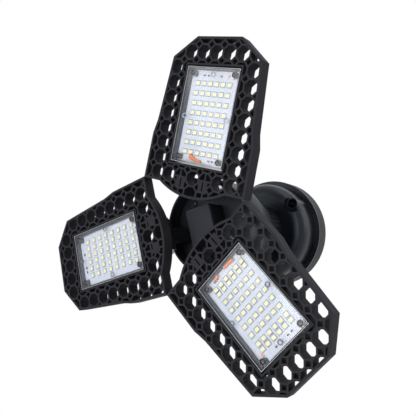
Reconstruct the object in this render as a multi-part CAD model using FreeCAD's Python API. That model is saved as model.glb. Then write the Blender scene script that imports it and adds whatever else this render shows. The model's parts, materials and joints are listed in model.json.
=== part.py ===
import FreeCAD
import Part

import math
import os

from FreeCAD import Vector

# Three-leaf deformable garage light, hanging in the round ceiling lampholder that it screws into.
#
# Frame: millimetres, +Z up, origin at the centre of the face that goes against the ceiling.
# The light hangs below it. Leaf 1 points along -X, leaves 2 and 3 follow at 120 degree steps.
# Every leaf is modelled along +X (x = distance from the axis, y = sideways) and then turned
# about Z to its own place. Depths are given as heights z, all of them negative.
# Leaf 1 hangs a little past flat, on its stop, and leaves 2 and 3 lie flat.

# ---------------------------------------------------------------- driving dimensions, mm
# heights of the main levels
LED_Z = -162.0  # light-giving face of the LED chips
FRONT_LIP = 4.6  # leaf frame rim below the LED face
FRAME_DEPTH = 10.3  # leaf frame, rim to back

# leaf outline: half widths at distances from the axis
END_R = 148.6
END_HALF = 21.3
SHOULDER_R = 132.0
SHOULDER_HALF = 42.65
WAIST_R = 79.2
WAIST_HALF = 47.2
STEP_R = 67.8
STEP_HALF = 49.83
INNER_R = 29.7
INNER_HALF = 50.7
LOBE_HALF = 33.0  # where the straight inner edge meets the rounded lobe
LOBE_R = 20.8  # lobe's nearest point to the axis

# leaf lattice
RIM_WALL = 2.0
PITCH = 12.4
RIB = 1.5
FIRST_ROW_R = 37.1
LAST_COLUMN = 4
LAST_ROW = 9
SMALLEST_HOLE = 1.2  # mm2, smaller corners of the pattern stay filled

# lens pocket in the leaf
POCKET_HALF = 26.0
POCKET_R0 = 46.9
POCKET_R1 = 126.1
POCKET_WALL = 1.4
LEDGE_WIDE = 1.2  # ledge behind the heat plate
PAD_HALF = 4.4  # ledge's corner pads reach this far past their screws

# heat plate, board, chips and lens
PLATE_THICK = 2.0
PLATE_GAP = 0.2
FIN_COUNT = 7
FIN_THICK = 1.4
FIN_MARGIN = 3.0
LENS_END_GAP = 1.3  # pocket's end to the lens
LENS_SIDE_GAP = 0.7
LENS_WALL = 1.3
LENS_FACE = 1.6
POST_RADIUS = 2.3
POST_END_INSET = 4.55  # lens post's middle from the lens's end
POST_SIDE_INSET = 5.3
BOARD_THICK = 1.6
BOARD_END_GAP = 0.7  # lens wall to the board
BOARD_SIDE_GAP = 1.3
BOARD_NOTCH = 5.4
CHIP_WIDE = 3.5
CHIP_LONG = 2.8
CHIP_THICK = 0.7
CHIP_COLUMNS = 6
CHIP_SHIFTS = (-0.3, 0.8, 0.1)  # sideways, per leaf
CHIP_SIDE_MARGIN = 7.2  # board's edge to the middle of the outer column
CHIP_ROWS = 8
CHIP_END_MARGIN = 8.65  # board's end to the middle of the outer row
CHIPS_INWARD = 1.5  # the rows' middle lies this much nearer to the hub than the pocket's
CHIP_ROWS_LEAF_3 = (-3.48, -2.96, -1.96, -0.96, 0.04, 1.03, 2.01, 2.99, 3.59)  # in row pitches
LENS_SCREW_RADIUS = 1.1
LENS_SCREW_HEAD = 2.1
LENS_SCREW_HEAD_HIGH = 1.5
LENS_SCREW_BITE = 4.5  # how far the screw enters the lens post

# leaf hinge
HINGE_R = 32.0
HINGE_RISE = 9.3  # pin above the leaf's back face
BOSS_IN = 7.0  # hinge lugs and their bosses, sideways
BOSS_OUT = 15.6
BOSS_R0 = 27.0
BOSS_R1 = 37.4
LUG_THICK = 6.0
LUG_RADIUS = 5.3
SLOT_AT = 11.0  # slot in each boss's front: lengthwise on leaves 1 and 3
SLOT_LONG = 7.0
CROSS_SLOT_AT = 9.7  # crosswise on leaf 2
CROSS_SLOT_R = 35.0
CROSS_SLOT_LONG = 4.4
SLOT_WIDE = 1.2
SLOT_DEEP = 3.0
PIN_RADIUS = 2.0
PIN_FIT = 0.05
HINGE_WASHER = 0.5
WASHER_RADIUS = 4.6
SIDE_GAP = 0.1
SCREW_HEAD_RADIUS = 3.6
SCREW_HEAD_HIGH = 2.6
NUT_ACROSS = 7.0
NUT_HIGH = 3.2
LEAF_TILTS = (2.7, 0.0, 0.0)  # degrees past flat, towards the lit side

# hub
HUB_R = 40.6
HUB_FRONT_Z = -134.6
HUB_CUP_DEEP = 13.6
HUB_WALL = 2.4
HUB_FLOOR = 2.4
HUB_SPLIT_Z = -112.0
HUB_SHOULDER_Z = -104.0  # the shell is straight up to here and tapers above it
HUB_REAR_Z = -68.0
HUB_REAR_R = 30.0
HUB_REAR_BEVEL = 3.0
RIM_BEVEL = 0.8
SPIGOT = 6.0
FIT = 0.1
WIRE_HOLE_R = 6.0

# cover over the joints of the leaves' leads
COVER_LONG = 31.2
COVER_WIDE = 25.0
COVER_FRONT_Z = -142.0
COVER_WALL = 1.8
COVER_BEVEL = 0.8
COVER_TURN = 60.0  # degrees, in line with leaf 2
COVER_POST_AT = 10.6
COVER_POST_R = 2.8
COVER_SCREW_R = 1.2
COVER_SCREW_HEAD = 2.4
COVER_SCREW_HEAD_HIGH = 1.6
COVER_SCREW_BITE = 8.0

# hub screws and the posts that they run in
HUB_SCREW_AT = 30.0  # distance from the axis
HUB_SCREW_R = 1.5
HUB_SCREW_HEAD = 2.8
HUB_SCREW_HEAD_HIGH = 2.0
HUB_SCREW_BITE = 9.0
HUB_BOSS_R = 3.6

# driver in the hub
DRIVER_Z = -100.0  # rear face of the board, which carries the components
DRIVER_R = 34.5
CAN_R = 5.0
CAN_HIGH = 17.0
CAN_X = 13.0
CAN_Y = 7.5
CORE_X = -11.0
CORE_WIDE = 16.0
CORE_LONG = 22.0
CORE_HIGH = 18.0
CORE_LEG = 4.5
WINDING_PROUD = 1.5

# lamp's screw base
CAP_NECK_R = 9.0
CAP_NECK_BORE = 4.0
CAP_COLLAR_R = 15.6
CAP_COLLAR_LONG = 5.0
CAP_SHELL_R = 13.1
CAP_SHELL_LONG = 19.5
CAP_SHELL_WALL = 0.5
CAP_GLASS_LONG = 4.5
CAP_TIP_R = 4.8
CAP_TIP_LONG = 2.2
CAP_TIP_BEVEL = 1.0
CAP_PLUG = 6.0  # how far the collar and the insulator plug into the shell

# ceiling lampholder
RING_R = 53.7
RING_HIGH = 15.0
RING_WALL = 2.6
DOME_R = 48.5
DOME_LIP = 2.0
DOME_WALL = 2.4
DOME_FACE_Z = -42.0
DOME_ROUND = 10.5
DOME_ROUND_STEPS = 3  # cones that make up the dome's round shoulder
SLEEVE_R = 25.5
SLEEVE_WALL = 2.6
SLEEVE_RIBS = 36
SLEEVE_RIB_DEEP = 0.8
SLEEVE_RIB_GAP = 1.6
MOUTH_GAP = 0.8  # lampholder sleeve to the lamp's rear face
COLUMN_ON = 44.45  # fixing holes lie on this radius, 88.9 mm apart
COLUMN_TURN = 39.5  # degrees
COLUMN_R = 5.4
COLUMN_BACK = 1.0  # column's end behind the dome's face
COLUMN_SINK_R = 4.3
COLUMN_SINK_DEEP = 22.0
COLUMN_HOLE_R = 2.3
COLUMN_DISH_R = 8.4
COLUMN_DISH_DEEP = 3.2
SEAT_R = 33.0  # seat behind the dome's face for the sleeve's and the socket's flanges
SEAT_HIGH = 3.0
FLANGE_THICK = 2.6
SOCKET_SCREW_AT = 29.2
SOCKET_SCREW_R = 1.3
SOCKET_SCREW_HEAD = 2.6
SOCKET_SCREW_HEAD_HIGH = 1.6
SOCKET_SCREW_BITE = 3.6
SOCKET_SCREW_TURNS = (90.0, 210.0, 330.0)
SOCKET_GAP = 0.3  # lamp's screw shell to the socket's shell
SOCKET_SHELL_WALL = 0.6
SOCKET_BODY_R = 21.0
SOCKET_BODY_Z = -12.0
STRAP_HALF = 2.0
CONTACT_THICK = 0.8
CONTACT_LONG_HALF = 7.0
CONTACT_WIDE_HALF = 3.5
CONTACT_ROOM_R = 8.2
RIVET_R = 1.6
TERMINAL_X = 16.0
TERMINAL_THICK = 1.0
TERMINAL_WIDE_HALF = 4.0
TERMINAL_END_X = 19.4
TERMINAL_SCREW_R = 1.8
TERMINAL_HEAD_R = 3.0
TERMINAL_HEAD_HIGH = 2.0
TERMINAL_DEEP = 8.0

# ---------------------------------------------------------------- sizes that follow
RIM_Z = LED_Z - FRONT_LIP
BACK_Z = RIM_Z + FRAME_DEPTH
PIN_Z = BACK_Z + HINGE_RISE
CHIP_TOP_Z = LED_Z + CHIP_THICK
BOARD_TOP_Z = CHIP_TOP_Z + BOARD_THICK
PLATE_TOP_Z = BOARD_TOP_Z + PLATE_THICK
LEDGE_Z = PLATE_TOP_Z + PLATE_GAP
POCKET_MID_R = (POCKET_R0 + POCKET_R1) / 2
LENS_LENGTH = POCKET_R1 - POCKET_R0 - 2 * LENS_END_GAP
LENS_HALF = POCKET_HALF - LENS_SIDE_GAP
POST_ALONG = LENS_LENGTH / 2 - POST_END_INSET
POST_HALF = LENS_HALF - POST_SIDE_INSET
BOARD_LENGTH = LENS_LENGTH - 2 * LENS_WALL - 2 * BOARD_END_GAP
BOARD_HALF = LENS_HALF - LENS_WALL - BOARD_SIDE_GAP
CHIP_PITCH = 2 * (BOARD_HALF - CHIP_SIDE_MARGIN) / (CHIP_COLUMNS - 1)
CHIP_ROW_PITCH = (BOARD_LENGTH - 2 * CHIP_END_MARGIN) / (CHIP_ROWS - 1)
CHIP_MID_R = POCKET_MID_R - CHIPS_INWARD
CUP_FLOOR_Z = HUB_FRONT_Z + HUB_CUP_DEEP
CUP_ROOF_Z = CUP_FLOOR_Z + HUB_FLOOR
DRIVER_FRONT_Z = DRIVER_Z - BOARD_THICK
CAP_SHELL_Z0 = HUB_REAR_Z + CAP_COLLAR_LONG
CAP_SHELL_Z1 = CAP_SHELL_Z0 + CAP_SHELL_LONG
CAP_GLASS_Z1 = CAP_SHELL_Z1 + CAP_GLASS_LONG
CAP_TIP_Z1 = CAP_GLASS_Z1 + CAP_TIP_LONG
SLEEVE_FLANGE_Z = DOME_FACE_Z + DOME_WALL + SEAT_HIGH
SOCKET_FLANGE_Z = SLEEVE_FLANGE_Z + FLANGE_THICK
SOCKET_SHELL_R = CAP_SHELL_R + SOCKET_GAP
SOCKET_MOUTH_Z = CAP_SHELL_Z0 + FIT
LEAF_TURNS = (180.0, 60.0, -60.0)
HUB_SCREW_TURNS = [turn + 60 for turn in LEAF_TURNS]
COLUMN_TURNS = (COLUMN_TURN, COLUMN_TURN + 180)
CHIP_ROWS_EVEN = [row - (CHIP_ROWS - 1) / 2 for row in range(CHIP_ROWS)]  # in row pitches
UP = Vector(0, 0, 1)
SIDE = Vector(0, 1, 0)
EPS = 0.5  # how far a cutting tool runs past what it cuts


# ---------------------------------------------------------------- helpers
def cylinder(radius, z0, z1, x=0.0, y=0.0):
    return Part.makeCylinder(radius, z1 - z0, Vector(x, y, z0), UP)


def tube(outer, inner, z0, z1):
    return cylinder(outer, z0, z1).cut(cylinder(inner, z0 - EPS, z1 + EPS))


def box(x0, x1, y0, y1, z0, z1):
    return Part.makeBox(x1 - x0, y1 - y0, z1 - z0, Vector(x0, y0, z0))


def cross_pin(radius, y0, y1):
    """A cylinder on the leaf hinge's axis, which lies sideways, along Y."""
    return Part.makeCylinder(radius, y1 - y0, Vector(HINGE_R, y0, PIN_Z), SIDE)


def both_sides(inner, outer):
    """Sideways stretches (y0, y1) on the left and on the right of a leaf's middle line."""
    return [(-outer, -inner), (inner, outer)]


def turned(shape, degrees):
    copy = shape.copy()
    copy.rotate(Vector(0, 0, 0), UP, degrees)
    return copy


def tilted(shape, degrees):
    """A leaf's piece turned about the leaf's hinge, towards the lit side."""
    copy = shape.copy()
    copy.rotate(Vector(HINGE_R, 0, PIN_Z), SIDE, degrees)
    return copy


def polygon_face(points, z):
    corners = [Vector(x, y, z) for x, y in points]
    return Part.Face(Part.makePolygon(corners + corners[:1]))


def flat_box(x0, x1, y0, y1, z):
    return polygon_face([(x0, y0), (x1, y0), (x1, y1), (x0, y1)], z)


def closed_edges_above(shape, z):
    return [edge for edge in shape.Edges if edge.Closed and edge.BoundBox.ZMin > z]


def closed_edges_below(shape, z):
    return [edge for edge in shape.Edges if edge.Closed and edge.BoundBox.ZMax < z]


def spun(points):
    """The solid that a closed profile of (radius, z) points makes when it is turned about Z."""
    corners = [Vector(radius, 0, z) for radius, z in points]
    face = Part.Face(Part.makePolygon(corners + corners[:1]))
    return face.revolve(Vector(0, 0, 0), UP, 360)


def shoulder_points(radius, z, bend, steps):
    """Quarter round in steps, from a wall at radius down to a flat at z."""
    points = []
    for step in range(steps + 1):
        angle = math.radians(90 * step / steps)
        points.append((radius - bend + bend * math.cos(angle), z + bend - bend * math.sin(angle)))
    return points


def export(name, solids):
    pieces = []
    for solid in solids:
        pieces += solid.Solids
    shape = pieces[0] if len(pieces) == 1 else Part.makeCompound(pieces)
    shape.exportStep("parts/" + name + ".step")


# ---------------------------------------------------------------- leaf frame
def leaf_outline(z):
    """The leaf's outline: six straight stretches a side and a rounded lobe at the inner edge."""
    side = [
        (INNER_R, INNER_HALF),
        (STEP_R, STEP_HALF),
        (WAIST_R, WAIST_HALF),
        (SHOULDER_R, SHOULDER_HALF),
        (END_R, END_HALF),
    ]
    right = [Vector(r, half, z) for r, half in side]
    left = [Vector(r, -half, z) for r, half in reversed(side)]
    lobe_right = Vector(INNER_R, LOBE_HALF, z)
    lobe_left = Vector(INNER_R, -LOBE_HALF, z)
    straight = Part.makePolygon([lobe_right] + right + left + [lobe_left]).Edges
    lobe = Part.Arc(lobe_left, Vector(LOBE_R, 0, z), lobe_right).toShape()
    return Part.Face(Part.Wire(straight + [lobe]))


def octagon(x, y, z):
    half = (PITCH - RIB) / 2
    bevel = half * math.tan(math.radians(22.5))
    points = [(half, bevel), (bevel, half), (-bevel, half), (-half, bevel)]
    points += [(-px, -py) for px, py in points]
    return polygon_face([(x + px, y + py) for px, py in points], z)


def diamond(x, y, z):
    flat = PITCH * math.tan(math.radians(22.5))
    half = (flat - RIB) / math.sqrt(2)
    return polygon_face([(x + half, y), (x, y + half), (x - half, y), (x, y - half)], z)


def hinge_boss_faces(z):
    """What stays filled round the two hinge bosses: the bosses and the ribs beside them."""
    faces = []
    for side in (-1, 1):
        y0, y1 = sorted((side * BOSS_IN, side * BOSS_OUT))
        faces.append(flat_box(BOSS_R0, BOSS_R1, y0, y1, z))
        mid = side * PITCH
        rib_end = FIRST_ROW_R + PITCH / 2
        faces.append(flat_box(LOBE_R, rib_end, mid - RIB / 2, mid + RIB / 2, z))
        y0, y1 = sorted((side * BOSS_IN, side * PITCH * 3 / 2))
        faces.append(flat_box(BOSS_R1 - RIB, BOSS_R1, y0, y1, z))
    return faces


def lattice_holes(z):
    """The octagons and the small diamonds between them, cut off at the rim and the pocket."""
    field = leaf_outline(z).makeOffset2D(-RIM_WALL, 2)
    pocket_r0 = POCKET_R0 - POCKET_WALL
    pocket_r1 = POCKET_R1 + POCKET_WALL
    pocket_half = POCKET_HALF + POCKET_WALL
    field = field.cut(flat_box(pocket_r0, pocket_r1, -pocket_half, pocket_half, z))
    field = field.cut(hinge_boss_faces(z))
    holes = []
    for row in range(-1, LAST_ROW + 1):
        for column in range(-LAST_COLUMN, LAST_COLUMN + 1):
            x = FIRST_ROW_R + row * PITCH
            y = column * PITCH
            cells = [octagon(x, y, z)]
            if column < LAST_COLUMN:
                cells.append(diamond(x + PITCH / 2, y + PITCH / 2, z))
            for cell in cells:
                holes += [face for face in cell.common(field).Faces if face.Area > SMALLEST_HOLE]
    return holes


def lattice_plate():
    """The frame's flat form: rim, octagon and diamond ribs, and the pocket for the lens."""
    pocket = flat_box(POCKET_R0, POCKET_R1, -POCKET_HALF, POCKET_HALF, RIM_Z)
    wires = [leaf_outline(RIM_Z).OuterWire, pocket.OuterWire]
    wires += [hole.OuterWire for hole in lattice_holes(RIM_Z)]
    plate = Part.makeFace(wires, "Part::FaceMakerBullseye")
    return plate.extrude(Vector(0, 0, FRAME_DEPTH))


def pocket_ledge():
    """Ledge round the pocket behind the heat plate, with a bored pad in each corner."""
    outer_half = POCKET_HALF + POCKET_WALL / 2
    outer_along = (POCKET_R1 - POCKET_R0 + POCKET_WALL) / 2
    half = POCKET_HALF - LEDGE_WIDE
    x0 = POCKET_R0 + LEDGE_WIDE
    x1 = POCKET_R1 - LEDGE_WIDE
    mid = POCKET_MID_R
    ledge = box(mid - outer_along, mid + outer_along, -outer_half, outer_half, LEDGE_Z, BACK_Z)
    ledge = ledge.cut(box(x0, x1, -half, half, LEDGE_Z - EPS, BACK_Z + EPS))
    for along in (-1, 1):
        pad_x = sorted((mid + along * (POST_ALONG - PAD_HALF), mid + along * outer_along))
        for side in (-1, 1):
            pad_y = sorted((side * (POST_HALF - PAD_HALF), side * outer_half))
            ledge = ledge.fuse(box(*pad_x, *pad_y, LEDGE_Z, BACK_Z))
    for x, y in post_places():
        ledge = ledge.cut(cylinder(LENS_SCREW_RADIUS + FIT, LEDGE_Z - EPS, BACK_Z + EPS, x, y))
    return ledge


def hinge_lug(y0, y1):
    lug = cross_pin(LUG_RADIUS, y0, y1)
    foot = box(HINGE_R - LUG_RADIUS, HINGE_R + LUG_RADIUS, y0, y1, BACK_Z - EPS, PIN_Z)
    return lug.fuse(foot).cut(cross_pin(PIN_RADIUS + PIN_FIT, y0 - EPS, y1 + EPS))


def boss_slot(side, crosswise):
    long_half = SLOT_LONG / 2
    wide_half = SLOT_WIDE / 2
    x = (BOSS_R0 + BOSS_R1) / 2
    y = side * SLOT_AT
    if crosswise:
        long_half, wide_half = wide_half, CROSS_SLOT_LONG / 2
        x = CROSS_SLOT_R
        y = side * CROSS_SLOT_AT
    return box(
        x - long_half, x + long_half, y - wide_half, y + wide_half, RIM_Z - EPS, RIM_Z + SLOT_DEEP
    )


def leaf_frame(crosswise_slots):
    frame = lattice_plate().fuse(pocket_ledge())
    for y0, y1 in both_sides(BOSS_IN, BOSS_IN + LUG_THICK):
        frame = frame.fuse(hinge_lug(y0, y1))
    for side in (-1, 1):
        frame = frame.cut(boss_slot(side, crosswise_slots))
    return frame.removeSplitter()


# ---------------------------------------------------------------- what the leaf carries
def post_places():
    return [
        (POCKET_MID_R + along * POST_ALONG, side * POST_HALF)
        for along in (-1, 1)
        for side in (-1, 1)
    ]


def heat_plate():
    half = POCKET_HALF - PLATE_GAP
    x0 = POCKET_R0 + PLATE_GAP
    x1 = POCKET_R1 - PLATE_GAP
    plate = box(x0, x1, -half, half, BOARD_TOP_Z, PLATE_TOP_Z)
    fin_x0 = POCKET_MID_R - POST_ALONG + PAD_HALF + FIN_MARGIN
    fin_x1 = POCKET_MID_R + POST_ALONG - PAD_HALF - FIN_MARGIN
    fin_field = half - LEDGE_WIDE - FIN_MARGIN
    for index in range(FIN_COUNT):
        y = -fin_field + 2 * fin_field * index / (FIN_COUNT - 1)
        fin = box(fin_x0, fin_x1, y - FIN_THICK / 2, y + FIN_THICK / 2, PLATE_TOP_Z - EPS, BACK_Z)
        plate = plate.fuse(fin)
    for x, y in post_places():
        hole = cylinder(LENS_SCREW_RADIUS + FIT, BOARD_TOP_Z - EPS, PLATE_TOP_Z + EPS, x, y)
        plate = plate.cut(hole)
    return plate.removeSplitter()


def led_board():
    """Light-coloured board with its four corners notched round the lens posts."""
    x0 = POCKET_MID_R - BOARD_LENGTH / 2
    x1 = POCKET_MID_R + BOARD_LENGTH / 2
    board = box(x0, x1, -BOARD_HALF, BOARD_HALF, CHIP_TOP_Z, BOARD_TOP_Z)
    cut = BOARD_NOTCH
    for x in (x0, x1):
        for y in (-BOARD_HALF, BOARD_HALF):
            notch = box(x - cut, x + cut, y - cut, y + cut, CHIP_TOP_Z - EPS, BOARD_TOP_Z + EPS)
            board = board.cut(notch)
    return board


def led_chips(rows, shift):
    chips = []
    for row in rows:
        for column in range(CHIP_COLUMNS):
            x0 = CHIP_MID_R + row * CHIP_ROW_PITCH - CHIP_LONG / 2
            y0 = (column - (CHIP_COLUMNS - 1) / 2) * CHIP_PITCH + shift - CHIP_WIDE / 2
            chips.append(box(x0, x0 + CHIP_LONG, y0, y0 + CHIP_WIDE, LED_Z, CHIP_TOP_Z))
    return chips


def lens():
    """Clear cover over the board: a shallow tray with a screw post in each corner."""
    half = LENS_HALF
    x0 = POCKET_MID_R - LENS_LENGTH / 2
    x1 = POCKET_MID_R + LENS_LENGTH / 2
    wall = LENS_WALL
    tray = box(x0, x1, -half, half, RIM_Z, BOARD_TOP_Z)
    hollow_top = BOARD_TOP_Z + EPS
    hollow = box(x0 + wall, x1 - wall, wall - half, half - wall, RIM_Z + LENS_FACE, hollow_top)
    tray = tray.cut(hollow)
    for x, y in post_places():
        tray = tray.fuse(cylinder(POST_RADIUS, RIM_Z + LENS_FACE / 2, BOARD_TOP_Z, x, y))
    for x, y in post_places():
        depth = BOARD_TOP_Z - LENS_SCREW_BITE - FIT
        tray = tray.cut(cylinder(LENS_SCREW_RADIUS + PIN_FIT, depth, BOARD_TOP_Z + EPS, x, y))
    return tray.removeSplitter()


def lens_screws():
    screws = []
    for x, y in post_places():
        shank = cylinder(LENS_SCREW_RADIUS, BOARD_TOP_Z - LENS_SCREW_BITE, BACK_Z + EPS, x, y)
        head = cylinder(LENS_SCREW_HEAD, BACK_Z, BACK_Z + LENS_SCREW_HEAD_HIGH, x, y)
        screws.append(shank.fuse(head).removeSplitter())
    return screws


def hinge_screw():
    y0 = -(BOSS_IN + LUG_THICK)
    y1 = BOSS_IN + LUG_THICK
    shank = cross_pin(PIN_RADIUS, y0 - NUT_HIGH - EPS, y1 + EPS)
    head = cross_pin(SCREW_HEAD_RADIUS, y1, y1 + SCREW_HEAD_HIGH)
    rim = [edge for edge in head.Edges if edge.Closed and edge.BoundBox.YMin > y1 + EPS]
    return shank.fuse(head.makeChamfer(SCREW_HEAD_HIGH / 3, rim)).removeSplitter()


def hinge_nut():
    y1 = -(BOSS_IN + LUG_THICK)
    y0 = y1 - NUT_HIGH
    corner = NUT_ACROSS / math.sqrt(3)
    points = []
    for index in range(6):
        angle = math.radians(60 * index)
        x = HINGE_R + corner * math.cos(angle)
        z = PIN_Z + corner * math.sin(angle)
        points.append(Vector(x, y0, z))
    hexagon = Part.Face(Part.makePolygon(points + points[:1]))
    body = hexagon.extrude(Vector(0, NUT_HIGH, 0))
    return body.cut(cross_pin(PIN_RADIUS + PIN_FIT, y0 - EPS, y1 + EPS))


def hinge_washers():
    washers = []
    for y0, y1 in both_sides(BOSS_IN - HINGE_WASHER, BOSS_IN):
        hole = cross_pin(PIN_RADIUS + PIN_FIT, y0 - EPS, y1 + EPS)
        washers.append(cross_pin(WASHER_RADIUS, y0, y1).cut(hole))
    return washers


# ---------------------------------------------------------------- hub
def hub_knuckle():
    """The hub's part of one leaf hinge: a post between the leaf's two lugs."""
    half = BOSS_IN - HINGE_WASHER - SIDE_GAP
    r0 = HINGE_R - LUG_RADIUS
    r1 = HINGE_R + LUG_RADIUS
    post = box(r0, r1, -half, half, PIN_Z, CUP_FLOOR_Z + EPS)
    post = post.fuse(cross_pin(LUG_RADIUS, -half, half))
    return post.cut(cross_pin(PIN_RADIUS + PIN_FIT, -half - EPS, half + EPS))


def cover_post_places():
    """Places of the cover's two screws, seen along the cover's own length."""
    places = []
    for along in (-COVER_POST_AT, COVER_POST_AT):
        turn = math.radians(COVER_TURN)
        places.append((-along * math.sin(turn), along * math.cos(turn)))
    return places


def hub_front():
    """A shallow cup with the three hinge posts, and a spigot that plugs into the hub's shell."""
    cup = cylinder(HUB_R, HUB_FRONT_Z, HUB_SPLIT_Z)
    cup = cup.makeChamfer(RIM_BEVEL, closed_edges_below(cup, HUB_FRONT_Z + EPS))
    bore = HUB_R - 2 * HUB_WALL
    cup = cup.cut(cylinder(HUB_R - HUB_WALL, HUB_FRONT_Z - EPS, CUP_FLOOR_Z))
    cup = cup.cut(cylinder(bore, CUP_ROOF_Z, HUB_SPLIT_Z + EPS))
    cup = cup.fuse(tube(HUB_R - HUB_WALL - FIT, bore, HUB_SPLIT_Z - EPS, HUB_SPLIT_Z + SPIGOT))
    for turn in LEAF_TURNS:
        cup = cup.fuse(turned(hub_knuckle(), turn))
    for turn in HUB_SCREW_TURNS:
        pillar = cylinder(HUB_BOSS_R, CUP_ROOF_Z - EPS, DRIVER_FRONT_Z, HUB_SCREW_AT)
        cup = cup.fuse(turned(pillar, turn))
        hole = cylinder(HUB_SCREW_R + FIT, CUP_FLOOR_Z - EPS, DRIVER_FRONT_Z + EPS, HUB_SCREW_AT)
        cup = cup.cut(turned(hole, turn))
    cup = cup.cut(cylinder(WIRE_HOLE_R, CUP_FLOOR_Z - EPS, CUP_ROOF_Z + EPS))
    for x, y in cover_post_places():
        cup = cup.cut(cylinder(COVER_SCREW_R + FIT, CUP_FLOOR_Z - EPS, CUP_ROOF_Z + EPS, x, y))
    return cup.removeSplitter()


def hub_form(inset):
    """The hub shell's outer form, drawn in by inset: straight, then a taper, then a bevelled end."""
    radius = HUB_R - inset
    rear_r = HUB_REAR_R - inset
    rear_z = HUB_REAR_Z - inset
    return spun(
        [
            (0, HUB_SPLIT_Z),
            (radius, HUB_SPLIT_Z),
            (radius, HUB_SHOULDER_Z),
            (rear_r, rear_z - HUB_REAR_BEVEL),
            (rear_r - HUB_REAR_BEVEL, rear_z),
            (0, rear_z),
        ]
    )


def hub_rear():
    """The driver's shell. Three bosses grow from its taper, and the driver board rests on them."""
    shell = hub_form(0).cut(hub_form(HUB_WALL))
    boss = cylinder(HUB_BOSS_R, DRIVER_Z, HUB_REAR_Z, HUB_SCREW_AT).common(hub_form(HUB_WALL / 2))
    hole_end = DRIVER_Z + HUB_SCREW_BITE + FIT
    boss = boss.cut(cylinder(HUB_SCREW_R + PIN_FIT, DRIVER_Z - EPS, hole_end, HUB_SCREW_AT))
    for turn in HUB_SCREW_TURNS:
        shell = shell.fuse(turned(boss, turn))
    neck_hole = cylinder(CAP_NECK_R + FIT, HUB_REAR_Z - HUB_WALL - EPS, HUB_REAR_Z + EPS)
    return shell.cut(neck_hole).removeSplitter()


def hub_screws():
    head_z = CUP_FLOOR_Z - HUB_SCREW_HEAD_HIGH
    shank = cylinder(HUB_SCREW_R, CUP_FLOOR_Z - EPS, DRIVER_Z + HUB_SCREW_BITE, HUB_SCREW_AT)
    head = cylinder(HUB_SCREW_HEAD, head_z, CUP_FLOOR_Z, HUB_SCREW_AT)
    screw = shank.fuse(head).removeSplitter()
    return [turned(screw, turn) for turn in HUB_SCREW_TURNS]


def wiring_cover():
    """The block in the middle of the cup, over the joints of the three leaves' leads."""
    long_half = COVER_LONG / 2
    wide_half = COVER_WIDE / 2
    inner_long = long_half - COVER_WALL
    inner_wide = wide_half - COVER_WALL
    cover = box(-wide_half, wide_half, -long_half, long_half, COVER_FRONT_Z, CUP_FLOOR_Z)
    outside = [edge for edge in cover.Edges if edge.BoundBox.ZMin < CUP_FLOOR_Z - EPS]
    cover = cover.makeChamfer(COVER_BEVEL, outside)
    floor_z = COVER_FRONT_Z + COVER_WALL
    hollow = box(-inner_wide, inner_wide, -inner_long, inner_long, floor_z, CUP_FLOOR_Z + EPS)
    cover = turned(cover.cut(hollow), COVER_TURN)
    bore_z = CUP_FLOOR_Z - COVER_SCREW_BITE - FIT
    for x, y in cover_post_places():
        cover = cover.fuse(cylinder(COVER_POST_R, floor_z - EPS, CUP_FLOOR_Z, x, y))
        cover = cover.cut(cylinder(COVER_SCREW_R + PIN_FIT, bore_z, CUP_FLOOR_Z + EPS, x, y))
    return cover.removeSplitter()


def wiring_cover_screws():
    screws = []
    for x, y in cover_post_places():
        shank = cylinder(COVER_SCREW_R, CUP_FLOOR_Z - COVER_SCREW_BITE, CUP_ROOF_Z + EPS, x, y)
        head_z = CUP_ROOF_Z + COVER_SCREW_HEAD_HIGH
        head = cylinder(COVER_SCREW_HEAD, CUP_ROOF_Z, head_z, x, y)
        screws.append(shank.fuse(head).removeSplitter())
    return screws


def driver_board():
    board = cylinder(DRIVER_R, DRIVER_FRONT_Z, DRIVER_Z)
    hole = cylinder(HUB_SCREW_R + FIT, DRIVER_FRONT_Z - EPS, DRIVER_Z + EPS, HUB_SCREW_AT)
    for turn in HUB_SCREW_TURNS:
        board = board.cut(turned(hole, turn))
    return board


def driver_capacitors():
    return [cylinder(CAN_R, DRIVER_Z, DRIVER_Z + CAN_HIGH, CAN_X, y) for y in (-CAN_Y, CAN_Y)]


def winding_box(grow_x, grow):
    """The room inside the transformer core's window, grown by the given amounts."""
    x_half = CORE_WIDE / 2 + grow_x
    y_half = CORE_LONG / 2 - CORE_LEG + grow
    z0 = DRIVER_Z + CORE_LEG - grow
    z1 = DRIVER_Z + CORE_HIGH - CORE_LEG + grow
    return box(CORE_X - x_half, CORE_X + x_half, -y_half, y_half, z0, z1)


def transformer_core():
    x_half = CORE_WIDE / 2
    y_half = CORE_LONG / 2
    top = DRIVER_Z + CORE_HIGH
    core = box(CORE_X - x_half, CORE_X + x_half, -y_half, y_half, DRIVER_Z, top)
    return core.cut(winding_box(EPS, 0))


def transformer_winding():
    winding = winding_box(WINDING_PROUD, -FIT)
    upright = [edge for edge in winding.Edges if edge.BoundBox.ZLength > 1]
    return winding.makeFillet(WINDING_PROUD - FIT, upright)


# ---------------------------------------------------------------- lamp's screw base
def cap_collar():
    """Insulating collar between the hub and the metal screw shell."""
    collar = cylinder(CAP_COLLAR_R, HUB_REAR_Z, CAP_SHELL_Z0)
    bevel = (CAP_COLLAR_R - CAP_SHELL_R) / 2
    collar = collar.makeChamfer(bevel, closed_edges_above(collar, HUB_REAR_Z + EPS))
    collar = collar.fuse(cylinder(CAP_NECK_R, HUB_REAR_Z - HUB_WALL, HUB_REAR_Z + EPS))
    plug_r = CAP_SHELL_R - CAP_SHELL_WALL - FIT
    collar = collar.fuse(cylinder(plug_r, CAP_SHELL_Z0 - EPS, CAP_SHELL_Z0 + CAP_PLUG))
    wire_bore = cylinder(CAP_NECK_BORE, HUB_REAR_Z - HUB_WALL - EPS, CAP_SHELL_Z0 + CAP_PLUG + EPS)
    return collar.cut(wire_bore).removeSplitter()


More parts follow.
